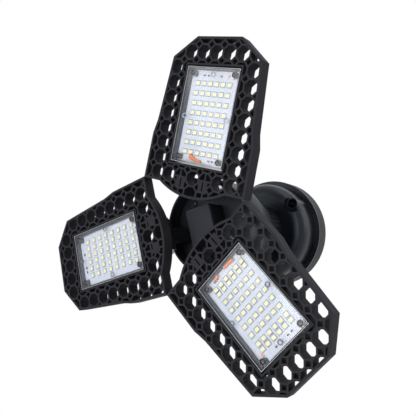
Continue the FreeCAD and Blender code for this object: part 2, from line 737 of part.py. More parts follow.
def cap_shell():
    return tube(CAP_SHELL_R, CAP_SHELL_R - CAP_SHELL_WALL, CAP_SHELL_Z0, CAP_SHELL_Z1)


def cap_insulator():
    """Insulator that closes the shell and carries the end contact."""
    end_r = CAP_TIP_R + CAP_TIP_BEVEL
    plug_r = CAP_SHELL_R - CAP_SHELL_WALL - FIT
    plug_z = CAP_SHELL_Z1 - CAP_PLUG
    return spun(
        [
            (0, plug_z),
            (plug_r, plug_z),
            (plug_r, CAP_SHELL_Z1),
            (CAP_SHELL_R, CAP_SHELL_Z1),
            (end_r, CAP_GLASS_Z1),
            (0, CAP_GLASS_Z1),
        ]
    )


def cap_tip():
    tip = cylinder(CAP_TIP_R, CAP_GLASS_Z1, CAP_TIP_Z1)
    return tip.makeChamfer(CAP_TIP_BEVEL, closed_edges_above(tip, CAP_GLASS_Z1 + EPS))


# ---------------------------------------------------------------- ceiling lampholder
def base_ring():
    ring = tube(RING_R, RING_R - RING_WALL, -RING_HIGH, 0)
    rim = [edge for edge in ring.Edges if edge.Closed and edge.BoundBox.XMax > RING_R - EPS]
    return ring.makeChamfer(RIM_BEVEL, rim)


def dome_form(inset, steps):
    """The dome's outer form, drawn in by inset, with its round shoulder in that many cones."""
    face_z = DOME_FACE_Z + inset
    shoulder = shoulder_points(DOME_R - inset, face_z, DOME_ROUND - inset, steps)
    return spun([(0, -RING_HIGH), (DOME_R - inset, -RING_HIGH)] + shoulder + [(0, face_z)])


def base_dome():
    """Round dome with a flat lip, and two screw columns that stand in dished recesses."""
    outer = dome_form(0, DOME_ROUND_STEPS)
    dome = outer.cut(dome_form(DOME_WALL, DOME_ROUND_STEPS))
    dome = dome.fuse(tube(RING_R, DOME_R - DOME_WALL, -RING_HIGH - DOME_LIP, -RING_HIGH))
    sleeve_bore = SLEEVE_R + FIT
    dome = dome.fuse(cylinder(SEAT_R, DOME_FACE_Z + EPS, SLEEVE_FLANGE_Z))
    dome = dome.cut(cylinder(sleeve_bore, DOME_FACE_Z - EPS, SLEEVE_FLANGE_Z + EPS))
    dish_z = DOME_FACE_Z + COLUMN_DISH_DEEP
    for turn in COLUMN_TURNS:
        floor_top = dish_z + DOME_WALL
        tub = cylinder(COLUMN_DISH_R + DOME_WALL, DOME_FACE_Z, floor_top, COLUMN_ON)
        tub = turned(tub, turn).common(outer)
        dome = dome.fuse(tub)
        dish = cylinder(COLUMN_DISH_R, DOME_FACE_Z - EPS, dish_z, COLUMN_ON)
        dome = dome.cut(turned(dish, turn))
        column = cylinder(COLUMN_R, DOME_FACE_Z + COLUMN_BACK, 0, COLUMN_ON)
        dome = dome.fuse(turned(column, turn))
        sink = cylinder(COLUMN_SINK_R, DOME_FACE_Z - EPS, DOME_FACE_Z + COLUMN_SINK_DEEP, COLUMN_ON)
        dome = dome.cut(turned(sink, turn))
        hole = cylinder(COLUMN_HOLE_R, DOME_FACE_Z, EPS, COLUMN_ON)
        dome = dome.cut(turned(hole, turn))
    screw_hole = cylinder(
        SOCKET_SCREW_R + PIN_FIT,
        SLEEVE_FLANGE_Z - SOCKET_SCREW_BITE - FIT,
        SLEEVE_FLANGE_Z + EPS,
        SOCKET_SCREW_AT,
    )
    for turn in SOCKET_SCREW_TURNS:
        dome = dome.cut(turned(screw_hole, turn))
    return dome.removeSplitter()


def without_flange_holes(shape):
    hole = cylinder(SOCKET_SCREW_R + FIT, SLEEVE_FLANGE_Z - EPS, 0, SOCKET_SCREW_AT)
    return shape.cut([turned(hole, turn) for turn in SOCKET_SCREW_TURNS])


def socket_sleeve():
    """Ribbed sleeve between the dome and the lamp, held behind the dome's face by a flange."""
    mouth_z = HUB_REAR_Z + MOUTH_GAP
    bore = SLEEVE_R - SLEEVE_WALL
    sleeve = tube(SLEEVE_R, bore, mouth_z, SOCKET_FLANGE_Z)
    sleeve = sleeve.fuse(tube(SEAT_R, bore, SLEEVE_FLANGE_Z, SOCKET_FLANGE_Z))
    half = SLEEVE_RIB_GAP / 2
    groove_z0 = mouth_z + SLEEVE_WALL
    groove_z1 = DOME_FACE_Z - SLEEVE_WALL
    groove = box(SLEEVE_R - SLEEVE_RIB_DEEP, SLEEVE_R + EPS, -half, half, groove_z0, groove_z1)
    sleeve = sleeve.cut([turned(groove, 360 / SLEEVE_RIBS * rib) for rib in range(SLEEVE_RIBS)])
    return without_flange_holes(sleeve).removeSplitter()


def terminal_holes():
    z0 = SOCKET_BODY_Z - TERMINAL_DEEP - FIT
    return [cylinder(TERMINAL_SCREW_R + PIN_FIT, z0, 0, x) for x in (-TERMINAL_X, TERMINAL_X)]


def socket_body():
    """Insulating body round the screw shell, with a flange behind the sleeve's."""
    body = cylinder(SOCKET_BODY_R, SOCKET_MOUTH_Z, SOCKET_BODY_Z)
    body = body.fuse(cylinder(SEAT_R, SOCKET_FLANGE_Z, SOCKET_FLANGE_Z + FLANGE_THICK))
    shell_r = SOCKET_SHELL_R + SOCKET_SHELL_WALL
    strap = box(SOCKET_SHELL_R, shell_r + FIT, -STRAP_HALF - FIT, STRAP_HALF + FIT, CAP_SHELL_Z0, 0)
    room_z = CAP_TIP_Z1 + CONTACT_THICK
    cuts = [
        cylinder(shell_r + PIN_FIT, SOCKET_MOUTH_Z - EPS, CAP_SHELL_Z1),
        cylinder(SOCKET_SHELL_R, SOCKET_MOUTH_Z, CAP_GLASS_Z1),
        cylinder(CONTACT_ROOM_R, CAP_GLASS_Z1 - EPS, room_z),
        cylinder(RIVET_R + PIN_FIT, room_z - EPS, 0),
        strap,
    ]
    body = body.cut(cuts + terminal_holes())
    return without_flange_holes(body).removeSplitter()


def socket_shell():
    """Metal shell that the lamp screws into, with a strap up to its terminal."""
    wall_r = SOCKET_SHELL_R + SOCKET_SHELL_WALL
    shell = tube(wall_r, SOCKET_SHELL_R, SOCKET_MOUTH_Z, CAP_SHELL_Z1)
    strap_r0 = SOCKET_SHELL_R + FIT
    strap_z0 = CAP_SHELL_Z1 - SOCKET_SHELL_WALL
    strap = box(strap_r0, wall_r, -STRAP_HALF, STRAP_HALF, strap_z0, SOCKET_BODY_Z)
    return shell.fuse(strap).removeSplitter()


def socket_contact():
    """Centre contact that the lamp's end presses on, riveted through the body to its terminal."""
    long_half = CONTACT_LONG_HALF
    wide_half = CONTACT_WIDE_HALF
    top = CAP_TIP_Z1 + CONTACT_THICK
    strip = box(-long_half, long_half, -wide_half, wide_half, CAP_TIP_Z1, top)
    return strip.fuse(cylinder(RIVET_R, top - CONTACT_THICK / 2, SOCKET_BODY_Z)).removeSplitter()


def socket_screws():
    z0 = SLEEVE_FLANGE_Z - SOCKET_SCREW_BITE
    seat = SOCKET_FLANGE_Z + FLANGE_THICK
    shank = cylinder(SOCKET_SCREW_R, z0, seat + EPS, SOCKET_SCREW_AT)
    head = cylinder(SOCKET_SCREW_HEAD, seat, seat + SOCKET_SCREW_HEAD_HIGH, SOCKET_SCREW_AT)
    screw = shank.fuse(head).removeSplitter()
    return [turned(screw, turn) for turn in SOCKET_SCREW_TURNS]


def terminal_plates():
    """One plate over the contact's rivet, one over the shell's strap."""
    half = TERMINAL_WIDE_HALF
    top = SOCKET_BODY_Z + TERMINAL_THICK
    contact_plate = box(-TERMINAL_END_X, RIVET_R, -half, half, SOCKET_BODY_Z, top)
    shell_plate = box(SOCKET_SHELL_R - 1, TERMINAL_END_X, -half, half, SOCKET_BODY_Z, top)
    return [plate.cut(terminal_holes()) for plate in (contact_plate, shell_plate)]


def terminal_screws():
    seat = SOCKET_BODY_Z + TERMINAL_THICK
    screws = []
    for x in (-TERMINAL_X, TERMINAL_X):
        shank = cylinder(TERMINAL_SCREW_R, SOCKET_BODY_Z - TERMINAL_DEEP, seat + EPS, x)
        head = cylinder(TERMINAL_HEAD_R, seat, seat + TERMINAL_HEAD_HIGH, x)
        screws.append(shank.fuse(head).removeSplitter())
    return screws


# ---------------------------------------------------------------- all sub-parts
def leaf_parts(number):
    """The solids of one leaf, still along +X."""
    crosswise = number == 2
    rows = CHIP_ROWS_LEAF_3 if number == 3 else CHIP_ROWS_EVEN
    return {
        "frame": [leaf_frame(crosswise)],
        "heat_plate": [heat_plate()],
        "led_board": [led_board()],
        "led_chips": led_chips(rows, CHIP_SHIFTS[number - 1]),
        "lens": [lens()],
        "lens_screws": lens_screws(),
        "hinge_screw": [hinge_screw()],
        "hinge_nut": [hinge_nut()],
        "hinge_washers": hinge_washers(),
    }


def hub_parts():
    return {
        "hub_front": [hub_front()],
        "hub_rear": [hub_rear()],
        "hub_screws": hub_screws(),
        "wiring_cover": [wiring_cover()],
        "wiring_cover_screws": wiring_cover_screws(),
        "driver_board": [driver_board()],
        "driver_capacitors": driver_capacitors(),
        "transformer_core": [transformer_core()],
        "transformer_winding": [transformer_winding()],
        "cap_collar": [cap_collar()],
        "cap_shell": [cap_shell()],
        "cap_insulator": [cap_insulator()],
        "cap_tip": [cap_tip()],
    }


def lampholder_parts():
    return {
        "base_ring": [base_ring()],
        "base_dome": [base_dome()],
        "socket_sleeve": [socket_sleeve()],
        "socket_body": [socket_body()],
        "socket_shell": [socket_shell()],
        "socket_contact": [socket_contact()],
        "socket_screws": socket_screws(),
        "terminal_plates": terminal_plates(),
        "terminal_screws": terminal_screws(),
    }


os.makedirs("parts", exist_ok=True)
for index, leaf_turn in enumerate(LEAF_TURNS):
    for part_name, part_solids in leaf_parts(index + 1).items():
        placed = [turned(tilted(solid, LEAF_TILTS[index]), leaf_turn) for solid in part_solids]
        export("leaf_" + str(index + 1) + "_" + part_name, placed)
for part_name, part_solids in {**hub_parts(), **lampholder_parts()}.items():
    export(part_name, part_solids)
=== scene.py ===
import json
import math

import bmesh
import bpy
from mathutils import Matrix, Vector

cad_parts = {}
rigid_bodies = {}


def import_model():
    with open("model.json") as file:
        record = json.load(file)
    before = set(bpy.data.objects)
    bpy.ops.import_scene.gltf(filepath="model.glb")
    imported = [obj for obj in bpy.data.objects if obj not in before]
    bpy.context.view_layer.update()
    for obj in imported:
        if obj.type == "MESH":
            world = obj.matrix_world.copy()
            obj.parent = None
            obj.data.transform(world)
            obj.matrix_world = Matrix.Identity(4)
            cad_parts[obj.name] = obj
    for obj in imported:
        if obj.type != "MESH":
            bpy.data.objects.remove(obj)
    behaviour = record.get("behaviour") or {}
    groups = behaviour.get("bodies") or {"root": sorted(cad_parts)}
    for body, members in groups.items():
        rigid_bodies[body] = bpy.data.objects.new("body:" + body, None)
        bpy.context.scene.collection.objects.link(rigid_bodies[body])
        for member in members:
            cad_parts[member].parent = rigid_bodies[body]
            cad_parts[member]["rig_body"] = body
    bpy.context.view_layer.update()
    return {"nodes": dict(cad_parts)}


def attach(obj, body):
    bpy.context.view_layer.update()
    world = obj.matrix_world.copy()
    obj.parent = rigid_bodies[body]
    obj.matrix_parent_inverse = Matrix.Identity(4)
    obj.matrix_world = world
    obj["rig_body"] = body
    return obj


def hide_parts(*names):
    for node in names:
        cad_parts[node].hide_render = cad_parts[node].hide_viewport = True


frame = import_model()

# Looks for the three-leaf garage light in its ceiling lampholder. Lengths are metres.
# Leaf directions follow the frame: leaf 1 along -X, leaves 2 and 3 at +60 and -60 degrees.
# A leaf's own pieces are drawn flat along +X, by their distance from the hub's axis and their
# distance sideways, and leaf_place() takes them to the leaf.

MM = 0.001
LEAF_TURNS = {1: math.pi, 2: math.radians(60), 3: math.radians(-60)}
LEAF_TILTS = {1: math.radians(2.7), 2: 0.0, 3: 0.0}
HINGE_PIN = Vector((32.0 * MM, 0.0, -147.0 * MM))

# meshes
SHARP_ANGLE = math.radians(32)  # edges sharper than this are rounded and drawn sharp
FLAT_ANGLE = math.radians(0.4)
SAME_POINT = 2e-6
SEAM_ANGLE = math.radians(12)  # seams between the cones of the dome's shoulder
SEAM_WIDTH = 1.9 * MM
SEAM_STEPS = 4
SHOULDER_RADIUS = 37.0 * MM
ROUND_STEPS = 24

# LED package on the board
LED_CORNER = 0.18 * MM
LED_FRAME = 0.32 * MM
LED_FRAME_STEP = 0.06 * MM
LED_WINDOW_SHIFT = 0.08 * MM
LED_WINDOW_SHAPE = (1.18, 0.90, 1.0)
LED_WINDOW_SINK = 0.08 * MM
SOLDER_REACH = 0.34 * MM
SOLDER_HIGH = 0.3 * MM
SOLDER_HALF = 1.0 * MM
SOLDER_SLOPE = 0.7  # share of the solder's height by which its toe slopes down
# grey pad under each package: partly the solder pads, partly painted shadow of the package on the board
PAD_SHADOW_LONG = 4.7 * MM
PAD_SHADOW_WIDE = 4.9 * MM
PAD_SHADOW_THICK = 0.05 * MM

# lens
LENS_FRONT_Z = -166.6 * MM
LENS_BACK_Z = -165.0 * MM
LENS_ROUND = 0.4 * MM
LENS_ROUND_TOP = 0.38 * MM  # the round's faces lie between these two above the lens's front, and are painted pale as a highlight
LENS_ROUND_FOOT = 0.02 * MM
LENS_WALL_START = 0.1 * MM  # walls and posts start this far above the face's back
# width of the pale line round the lens's front, a painted highlight
LENS_HIGHLIGHT_LINE = 0.5 * MM
PIP_RADIUS = 2.2 * MM
PIP_BORE = 1.3 * MM
PIP_HIGH = 0.5 * MM
PIP_TAPER = 0.96
PIP_FLARE = 1.08
PIP_PLACES = ((85.4, 20.6), (85.4, -20.6), (119.6, 0.0))

# small parts on the boards
BOARD_FACE_Z = -161.3 * MM
LEAD_RADIUS = 1.2 * MM
LEAD_CLEAR = 1.02  # lead's middle above the board, in radii
LEAD_SIDES = 12
LEAD_STEPS = 8
LEAD_PATHS = {
    1: (((53.4, -9.6), (51.9, -4.0), (50.9, 2.4)), ((55.4, -9.0), (53.6, -6.8), (52.6, -4.4))),
    3: (((51.8, -11.6), (51.2, -6.5), (50.9, -1.6)), ((52.4, 10.4), (51.6, 8.6), (51.0, 6.2))),
}
BEAD_RADIUS = 1.3 * MM
BEAD_SHAPE = (1.0, 1.0, 0.6)
BEAD_RISE = 0.4 * MM
RESISTOR_PLACES = ((119.0, -10.5), (119.0, -6.5), (119.0, 6.0), (52.6, 9.0), (52.6, 12.5))
RESISTOR_SIZE = Vector((1.25, 2.0, 0.5)) * MM
RESISTOR_END = 0.35 * MM
RESISTOR_END_SIZE = 1.06  # tinned end against the body
RESISTOR_END_SHIFT = 1.08
RESISTOR_CORNER = 0.05 * MM
COPPER_SPOTS = {1: (119.5, 13.0), 3: (115.8, 18.6)}
COPPER_RADIUS = 1.3 * MM
COPPER_TAPER = 0.94
COPPER_THICK = 0.08 * MM

# screw heads
LENS_HEAD_HIGH = 1.5 * MM
HUB_HEAD_HIGH = 2.0 * MM
HINGE_HEAD_AT = HINGE_PIN + Vector((0.0, 13.0 * MM, 0.0))
HEAD_PROFILE = ((1.0, 0.45), (0.94, 0.72), (0.82, 0.92), (0.66, 1.0))  # shares of radius, height
SHANK_END = 0.75  # shares of the shank's radius
SHANK_POINT = 0.4
RECESS_REACH = 0.56  # shares of the head's radius
RECESS_HALF_WIDE = 0.15
RECESS_DEEP = 0.5  # share of the head's height
RECESS_TAPER = 0.7
ON_ARM = 0.01  # radians off an arm's middle line: there, only the arm's end bounds the recess

# camera, found from the three leaves' outlines
CAMERA_AT = Vector((-0.0334, -0.2419, -0.4812))
CAMERA_RIGHT = Vector((-0.2201, -0.7928, 0.5683))
CAMERA_UP = Vector((-0.9745, 0.2047, -0.0918))
CAMERA_BACK = Vector((-0.0436, -0.5740, -0.8177))
CAMERA_LENS = 43.4
CAMERA_SENSOR = 36.0
CAMERA_NEAR = 0.01

# light and floor
MIDDLE = Vector((-0.02, 0.0, -0.12))
SOFTBOXES = (
    # name, direction in the camera's axes (right, up, back), distance, size, power
    ("right_lamp", (0.85, 0.35, 0.10), 0.8, 0.5, 0.8),
    ("top_lamp", (0.10, 0.95, 0.15), 0.8, 0.5, 0.8),
    ("front_lamp", (-0.55, 0.1, 0.85), 0.9, 0.8, 5.2),
)
STRIP_AT = Vector((-0.04, 0.39, -0.80))
STRIP_TO = Vector((0.14, 0.32, -0.80))
STRIP_LONG = 0.46
STRIP_WIDE = 0.14
STRIP_POWER = 0.26
WORLD_LIGHT = 0.12
FLOOR_Z = -2.2
FLOOR_HALF = 60.0
FLOOR_COLOUR = (0.80, 0.80, 0.80, 1.0)
FLOOR_ROUGH = 0.9
FLOOR_GLOW = 0.66
FLOOR_CAMERA_GLOW = 0.24


# ------------------------------------------------------------------ shader groups
NOISE_LOW, NOISE_HIGH = 0.3, 0.7  # nearly all of a noise's values lie between these

# scales of the noises, per metre
MOTTLE_SCALE = 45.0
EDGE_NOISE_SCALE = 260.0
STREAK_SCALE = 2500.0
POWDER_SCALE = 4200.0
PATCH_SCALE = 160.0
FLOW_SCALE = 70.0
STREAK_STRETCH = (0.03, 1.0, 1.0)

# copper fields that show through a board's mask, in millimetres
FIELD_LONG = 15.8
FIELD_WIDE = 6.2
FIELD_GAP = 0.22


def new_group(name, inputs, outputs):
    group = bpy.data.node_groups.new(name, "ShaderNodeTree")
    for label, kind, value in inputs:
        socket = group.interface.new_socket(name=label, in_out="INPUT", socket_type=kind)
        socket.default_value = value
    for label, kind in outputs:
        group.interface.new_socket(name=label, in_out="OUTPUT", socket_type=kind)
    return group, group.nodes.new("NodeGroupInput"), group.nodes.new("NodeGroupOutput")


def feed(tree, socket, value):
    """Links a socket to another node's output, or sets it to a number or a colour."""
    if isinstance(value, bpy.types.NodeSocket):
        tree.links.new(value, socket)
    elif isinstance(value, tuple):
        socket.default_value = (*value, 1.0)
    else:
        socket.default_value = value


def add_math(tree, operation, first, second):
    node = tree.nodes.new("ShaderNodeMath")
    node.operation = operation
    feed(tree, node.inputs[0], first)
    feed(tree, node.inputs[1], second)
    return node.outputs[0]


def noise_of(tree, vector, scale, detail=4.0, rough=0.55):
    node = tree.nodes.new("ShaderNodeTexNoise")
    node.inputs["Detail"].default_value = detail
    node.inputs["Roughness"].default_value = rough
    feed(tree, node.inputs["Vector"], vector)
    feed(tree, node.inputs["Scale"], scale)
    return node.outputs["Fac"]


def ranged(tree, value, low, high, from_low=0.0, from_high=1.0):
    node = tree.nodes.new("ShaderNodeMapRange")
    feed(tree, node.inputs["Value"], value)
    node.inputs["From Min"].default_value = from_low
    node.inputs["From Max"].default_value = from_high
    feed(tree, node.inputs["To Min"], low)
    feed(tree, node.inputs["To Max"], high)
    return node.outputs["Result"]


def spread(tree, noise, low=0.0, high=1.0):
    """Stretches a noise over the whole way from low to high."""
    return ranged(tree, noise, low, high, NOISE_LOW, NOISE_HIGH)


def mixed(tree, factor, first, second, blend="MIX"):
    node = tree.nodes.new("ShaderNodeMix")
    node.data_type = "RGBA"
    node.blend_type = blend
    feed(tree, node.inputs["Factor"], factor)
    feed(tree, node.inputs["A"], first)
    feed(tree, node.inputs["B"], second)
    return node.outputs["Result"]


def bumped(tree, height, distance):
    node = tree.nodes.new("ShaderNodeBump")
    feed(tree, node.inputs["Distance"], distance)
    feed(tree, node.inputs["Height"], height)
    return node.outputs["Normal"]


def object_coords(tree):
    return tree.nodes.new("ShaderNodeTexCoord").outputs["Object"]


def surface_grain():
    """Cast, moulded or rolled skin: a fine bump, a slow mottle and patches of gloss."""
    inputs = [
        ("Grain Scale", "NodeSocketFloat", 900.0),
        ("Grain Height", "NodeSocketFloat", 0.00002),
        ("Rough Low", "NodeSocketFloat", 0.3),
        ("Rough High", "NodeSocketFloat", 0.5),
    ]
    outputs = [
        ("Mottle", "NodeSocketFloat"),
        ("Roughness", "NodeSocketFloat"),
        ("Normal", "NodeSocketVector"),
    ]
    group, given, made = new_group("surface_grain", inputs, outputs)
    coords = object_coords(group)
    fine = noise_of(group, coords, given.outputs["Grain Scale"], 3.0)
    slow = noise_of(group, coords, MOTTLE_SCALE, 5.0)
    slow_share = add_math(group, "MULTIPLY", slow, 0.6)
    fine_share = add_math(group, "MULTIPLY", fine, 0.4)
    patch = add_math(group, "ADD", slow_share, fine_share)
    rough = spread(group, patch, given.outputs["Rough Low"], given.outputs["Rough High"])
    feed(group, made.inputs["Mottle"], spread(group, slow))
    feed(group, made.inputs["Roughness"], rough)
    feed(group, made.inputs["Normal"], bumped(group, fine, given.outputs["Grain Height"]))
    return group


def worn_and_highlit_edges():
    """Mask of the rounded edges, broken up by a fine noise. The skins draw these edges lighter: partly
    wear, partly a painted highlight along the edges.
    """
    inputs = [("Spread", "NodeSocketFloat", 0.5)]
    group, given, made = new_group("worn_and_highlit_edges", inputs, [("Mask", "NodeSocketFloat")])
    edge = group.nodes.new("ShaderNodeAttribute")
    edge.attribute_name = "edge"
    fine = noise_of(group, object_coords(group), EDGE_NOISE_SCALE)
    breaks = ranged(group, fine, 0.35, 1.0, 0.35, 0.65)
    mask = add_math(group, "MULTIPLY", edge.outputs["Fac"], breaks)
    mask = add_math(group, "MULTIPLY", mask, given.outputs["Spread"])
    feed(group, made.inputs["Mask"], mask)
    return group


def brushed_lines():
    """Long fine streaks, as on rolled or brushed metal."""
    inputs = [("Turn", "NodeSocketFloat", 0.0), ("Height", "NodeSocketFloat", 0.000006)]
    outputs = [("Streak", "NodeSocketFloat"), ("Normal", "NodeSocketVector")]
    group, given, made = new_group("brushed_lines", inputs, outputs)
    turn = group.nodes.new("ShaderNodeCombineXYZ")
    feed(group, turn.inputs["Z"], given.outputs["Turn"])
    turned = group.nodes.new("ShaderNodeVectorRotate")
    turned.rotation_type = "EULER_XYZ"
    feed(group, turned.inputs["Vector"], object_coords(group))
    feed(group, turned.inputs["Rotation"], turn.outputs["Vector"])
    stretch = group.nodes.new("ShaderNodeVectorMath")
    stretch.operation = "MULTIPLY"
    stretch.inputs[1].default_value = STREAK_STRETCH
    feed(group, stretch.inputs[0], turned.outputs["Vector"])
    lines = noise_of(group, stretch.outputs["Vector"], STREAK_SCALE, 3.0)
    feed(group, made.inputs["Streak"], spread(group, lines))
    feed(group, made.inputs["Normal"], bumped(group, lines, given.outputs["Height"]))
    return group


GRAIN = surface_grain()
EDGES = worn_and_highlit_edges()
LINES = brushed_lines()


# ------------------------------------------------------------------ materials
WHITE = (1.0, 1.0, 1.0)
COOL = (0.80, 0.88, 1.0)


def blank_material(name):
    material = bpy.data.materials.new(name)
    material.use_nodes = True
    tree = material.node_tree
    tree.nodes.clear()
    shader = tree.nodes.new("ShaderNodeBsdfPrincipled")
    output = tree.nodes.new("ShaderNodeOutputMaterial")
    tree.links.new(shader.outputs["BSDF"], output.inputs["Surface"])
    return material, tree, shader


def placed_group(tree, group, **values):
    node = tree.nodes.new("ShaderNodeGroup")
    node.node_tree = group
    for label, value in values.items():
        node.inputs[label.replace("_", " ")].default_value = value
    return node


def skin(
    name, colour, dark, worn_lit_edge_tone, rough, grain=900.0, height=0.00002,
    edge=0.5, metal=0.0, gloss=0.5, shine=WHITE,
):
    """A moulded, painted or plated skin: mottle between two colours, lighter rounded edges (partly wear,
    partly a painted edge highlight), fine grain.
    """
    material, tree, shader = blank_material(name)
    grain_node = placed_group(
        tree, GRAIN, Grain_Scale=grain, Grain_Height=height, Rough_Low=rough[0], Rough_High=rough[1]
    )
    edge_node = placed_group(tree, EDGES, Spread=edge)
    tone = mixed(tree, grain_node.outputs["Mottle"], dark, colour)
    # the rounded edges are drawn lighter: partly wear, partly a painted highlight along the edges
    tone = mixed(tree, edge_node.outputs["Mask"], tone, worn_lit_edge_tone)
    feed(tree, shader.inputs["Base Color"], tone)
    feed(tree, shader.inputs["Roughness"], grain_node.outputs["Roughness"])
    feed(tree, shader.inputs["Normal"], grain_node.outputs["Normal"])
    shader.inputs["Metallic"].default_value = metal
    shader.inputs["Specular IOR Level"].default_value = gloss
    shader.inputs["Specular Tint"].default_value = (*shine, 1.0)
    return material


def streaked_metal(name, light, dark, rough, turn=0.0):
    material, tree, shader = blank_material(name)
    lines = placed_group(tree, LINES, Turn=turn)
    streak = lines.outputs["Streak"]
    feed(tree, shader.inputs["Base Color"], mixed(tree, streak, dark, light))
    feed(tree, shader.inputs["Roughness"], ranged(tree, streak, rough[0], rough[1]))
    feed(tree, shader.inputs["Normal"], lines.outputs["Normal"])
    shader.inputs["Metallic"].default_value = 1.0
    return material


def board_material(name, turn):
    """White solder mask over copper areas, which show through as faint grey fields."""
    material, tree, shader = blank_material(name)
    mapping = tree.nodes.new("ShaderNodeMapping")
    mapping.inputs["Rotation"].default_value = (0.0, 0.0, -turn)
    feed(tree, mapping.inputs["Vector"], object_coords(tree))
    fields = tree.nodes.new("ShaderNodeTexBrick")
    fields.offset = 0.5
    fields.inputs["Scale"].default_value = 1.0 / MM
    fields.inputs["Brick Width"].default_value = FIELD_LONG
    fields.inputs["Row Height"].default_value = FIELD_WIDE
    fields.inputs["Mortar Size"].default_value = FIELD_GAP
    fields.inputs["Mortar Smooth"].default_value = 0.3
    feed(tree, fields.inputs["Color1"], (0.63, 0.655, 0.735))
    feed(tree, fields.inputs["Color2"], (0.60, 0.625, 0.705))
    feed(tree, fields.inputs["Mortar"], (0.53, 0.55, 0.63))
    feed(tree, fields.inputs["Vector"], mapping.outputs["Vector"])
    grain = placed_group(
        tree, GRAIN, Grain_Scale=1400.0, Grain_Height=0.000006, Rough_Low=0.28, Rough_High=0.42
    )
    shade = mixed(tree, grain.outputs["Mottle"], (0.93, 0.93, 0.93), WHITE)
    feed(tree, shader.inputs["Base Color"], mixed(tree, 1.0, fields.outputs["Color"], shade, "MULTIPLY"))
    feed(tree, shader.inputs["Roughness"], grain.outputs["Roughness"])
    feed(tree, shader.inputs["Normal"], grain.outputs["Normal"])
    return material


def phosphor_material():
    """Yellow resin with its fine powder grain."""
    material, tree, shader = blank_material("led_phosphor")
    coords = object_coords(tree)
    powder = noise_of(tree, coords, POWDER_SCALE, 2.0)
    patches = noise_of(tree, coords, PATCH_SCALE, 2.0)
    tone = mixed(tree, spread(tree, patches), (0.83, 0.78, 0.30), (0.88, 0.85, 0.42))
    tone = mixed(tree, ranged(tree, powder, 0.0, 0.35, 0.4, 0.7), tone, (0.93, 0.90, 0.52))
    feed(tree, shader.inputs["Base Color"], tone)
    feed(tree, shader.inputs["Roughness"], ranged(tree, powder, 0.3, 0.5))
    feed(tree, shader.inputs["Normal"], bumped(tree, powder, 0.00001))
    return material


def clear_material():
    """Clear moulded plastic. Shadow rays pass, so that the board behind it is lit."""
    material, tree, shader = blank_material("lens_clear")
    flow = noise_of(tree, object_coords(tree), FLOW_SCALE, 2.0)
    feed(tree, shader.inputs["Base Color"], mixed(tree, flow, (0.93, 0.95, 0.97), (0.98, 0.99, 1.0)))
    feed(tree, shader.inputs["Roughness"], ranged(tree, flow, 0.05, 0.09))
    shader.inputs["Transmission Weight"].default_value = 1.0
    shader.inputs["IOR"].default_value = 1.49
    path = tree.nodes.new("ShaderNodeLightPath")
    through = tree.nodes.new("ShaderNodeBsdfTransparent")
    through.inputs["Color"].default_value = (0.94, 0.95, 0.96, 1.0)
    blend = tree.nodes.new("ShaderNodeMixShader")
    output = next(node for node in tree.nodes if node.type == "OUTPUT_MATERIAL")
    tree.links.new(path.outputs["Is Shadow Ray"], blend.inputs["Fac"])
    tree.links.new(shader.outputs["BSDF"], blend.inputs[1])
    tree.links.new(through.outputs["BSDF"], blend.inputs[2])
    tree.links.new(blend.outputs["Shader"], output.inputs["Surface"])
    return material


# name, light tone, dark tone, tone of the lighter edges (partly wear, partly painted edge highlight),
# least and most roughness
coat = skin(
    "frame_coat", (0.046, 0.046, 0.054), (0.034, 0.034, 0.041),
    (0.10, 0.10, 0.108), rough=(0.56, 0.72), edge=0.35, gloss=0.12, shine=COOL,
)
hub_skin = skin(
    "hub_plastic", (0.026, 0.027, 0.033), (0.020, 0.021, 0.026),
    (0.07, 0.07, 0.08), rough=(0.36, 0.50), grain=1500.0, height=0.000012, gloss=0.28, shine=COOL,
)
ring_skin = skin(
    "ring_matte", (0.036, 0.037, 0.042), (0.028, 0.029, 0.033),
    (0.10, 0.10, 0.105), rough=(0.5, 0.62), grain=1300.0, height=0.00002, gloss=0.3,
)
dome_skin = skin(
    "dome_gloss", (0.0080, 0.0095, 0.0145), (0.0060, 0.0072, 0.0110),
    (0.030, 0.033, 0.040), rough=(0.26, 0.36), grain=260.0, height=0.000006, gloss=0.42, shine=COOL,
)
sleeve_skin = skin(
    "sleeve_black", (0.016, 0.016, 0.018), (0.009, 0.009, 0.010),
    (0.08, 0.08, 0.085), rough=(0.34, 0.5), grain=700.0, height=0.00002,
)
socket_skin = skin(
    "socket_white", (0.80, 0.79, 0.76), (0.74, 0.73, 0.70),
    (0.85, 0.84, 0.82), rough=(0.35, 0.5), grain=1200.0, height=0.00001,
)
insulator_skin = skin(
    "insulator_dark", (0.020, 0.017, 0.016), (0.014, 0.012, 0.012),
    (0.06, 0.05, 0.05), rough=(0.2, 0.3), grain=400.0, height=0.000008,
)
green_skin = skin(
    "board_green", (0.030, 0.16, 0.070), (0.020, 0.12, 0.050),
    (0.35, 0.33, 0.20), rough=(0.28, 0.4), grain=1500.0, height=0.00001,
)
can_skin = skin(
    "can_black", (0.022, 0.022, 0.026), (0.014, 0.014, 0.017),
    (0.45, 0.45, 0.46), rough=(0.25, 0.35), grain=500.0, height=0.000006,
)
ferrite_skin = skin(
    "core_ferrite", (0.040, 0.038, 0.038), (0.026, 0.025, 0.025),
    (0.09, 0.09, 0.09), rough=(0.55, 0.7), grain=2200.0, height=0.00003,
)
tape_skin = skin(
    "winding_tape", (0.72, 0.52, 0.10), (0.60, 0.42, 0.07),
    (0.8, 0.62, 0.2), rough=(0.3, 0.4), grain=900.0, height=0.00001,
)
package_skin = skin(
    "led_body", (0.84, 0.84, 0.86), (0.76, 0.76, 0.79),
    (0.9, 0.9, 0.92), rough=(0.4, 0.55), grain=2500.0, height=0.000006,
)
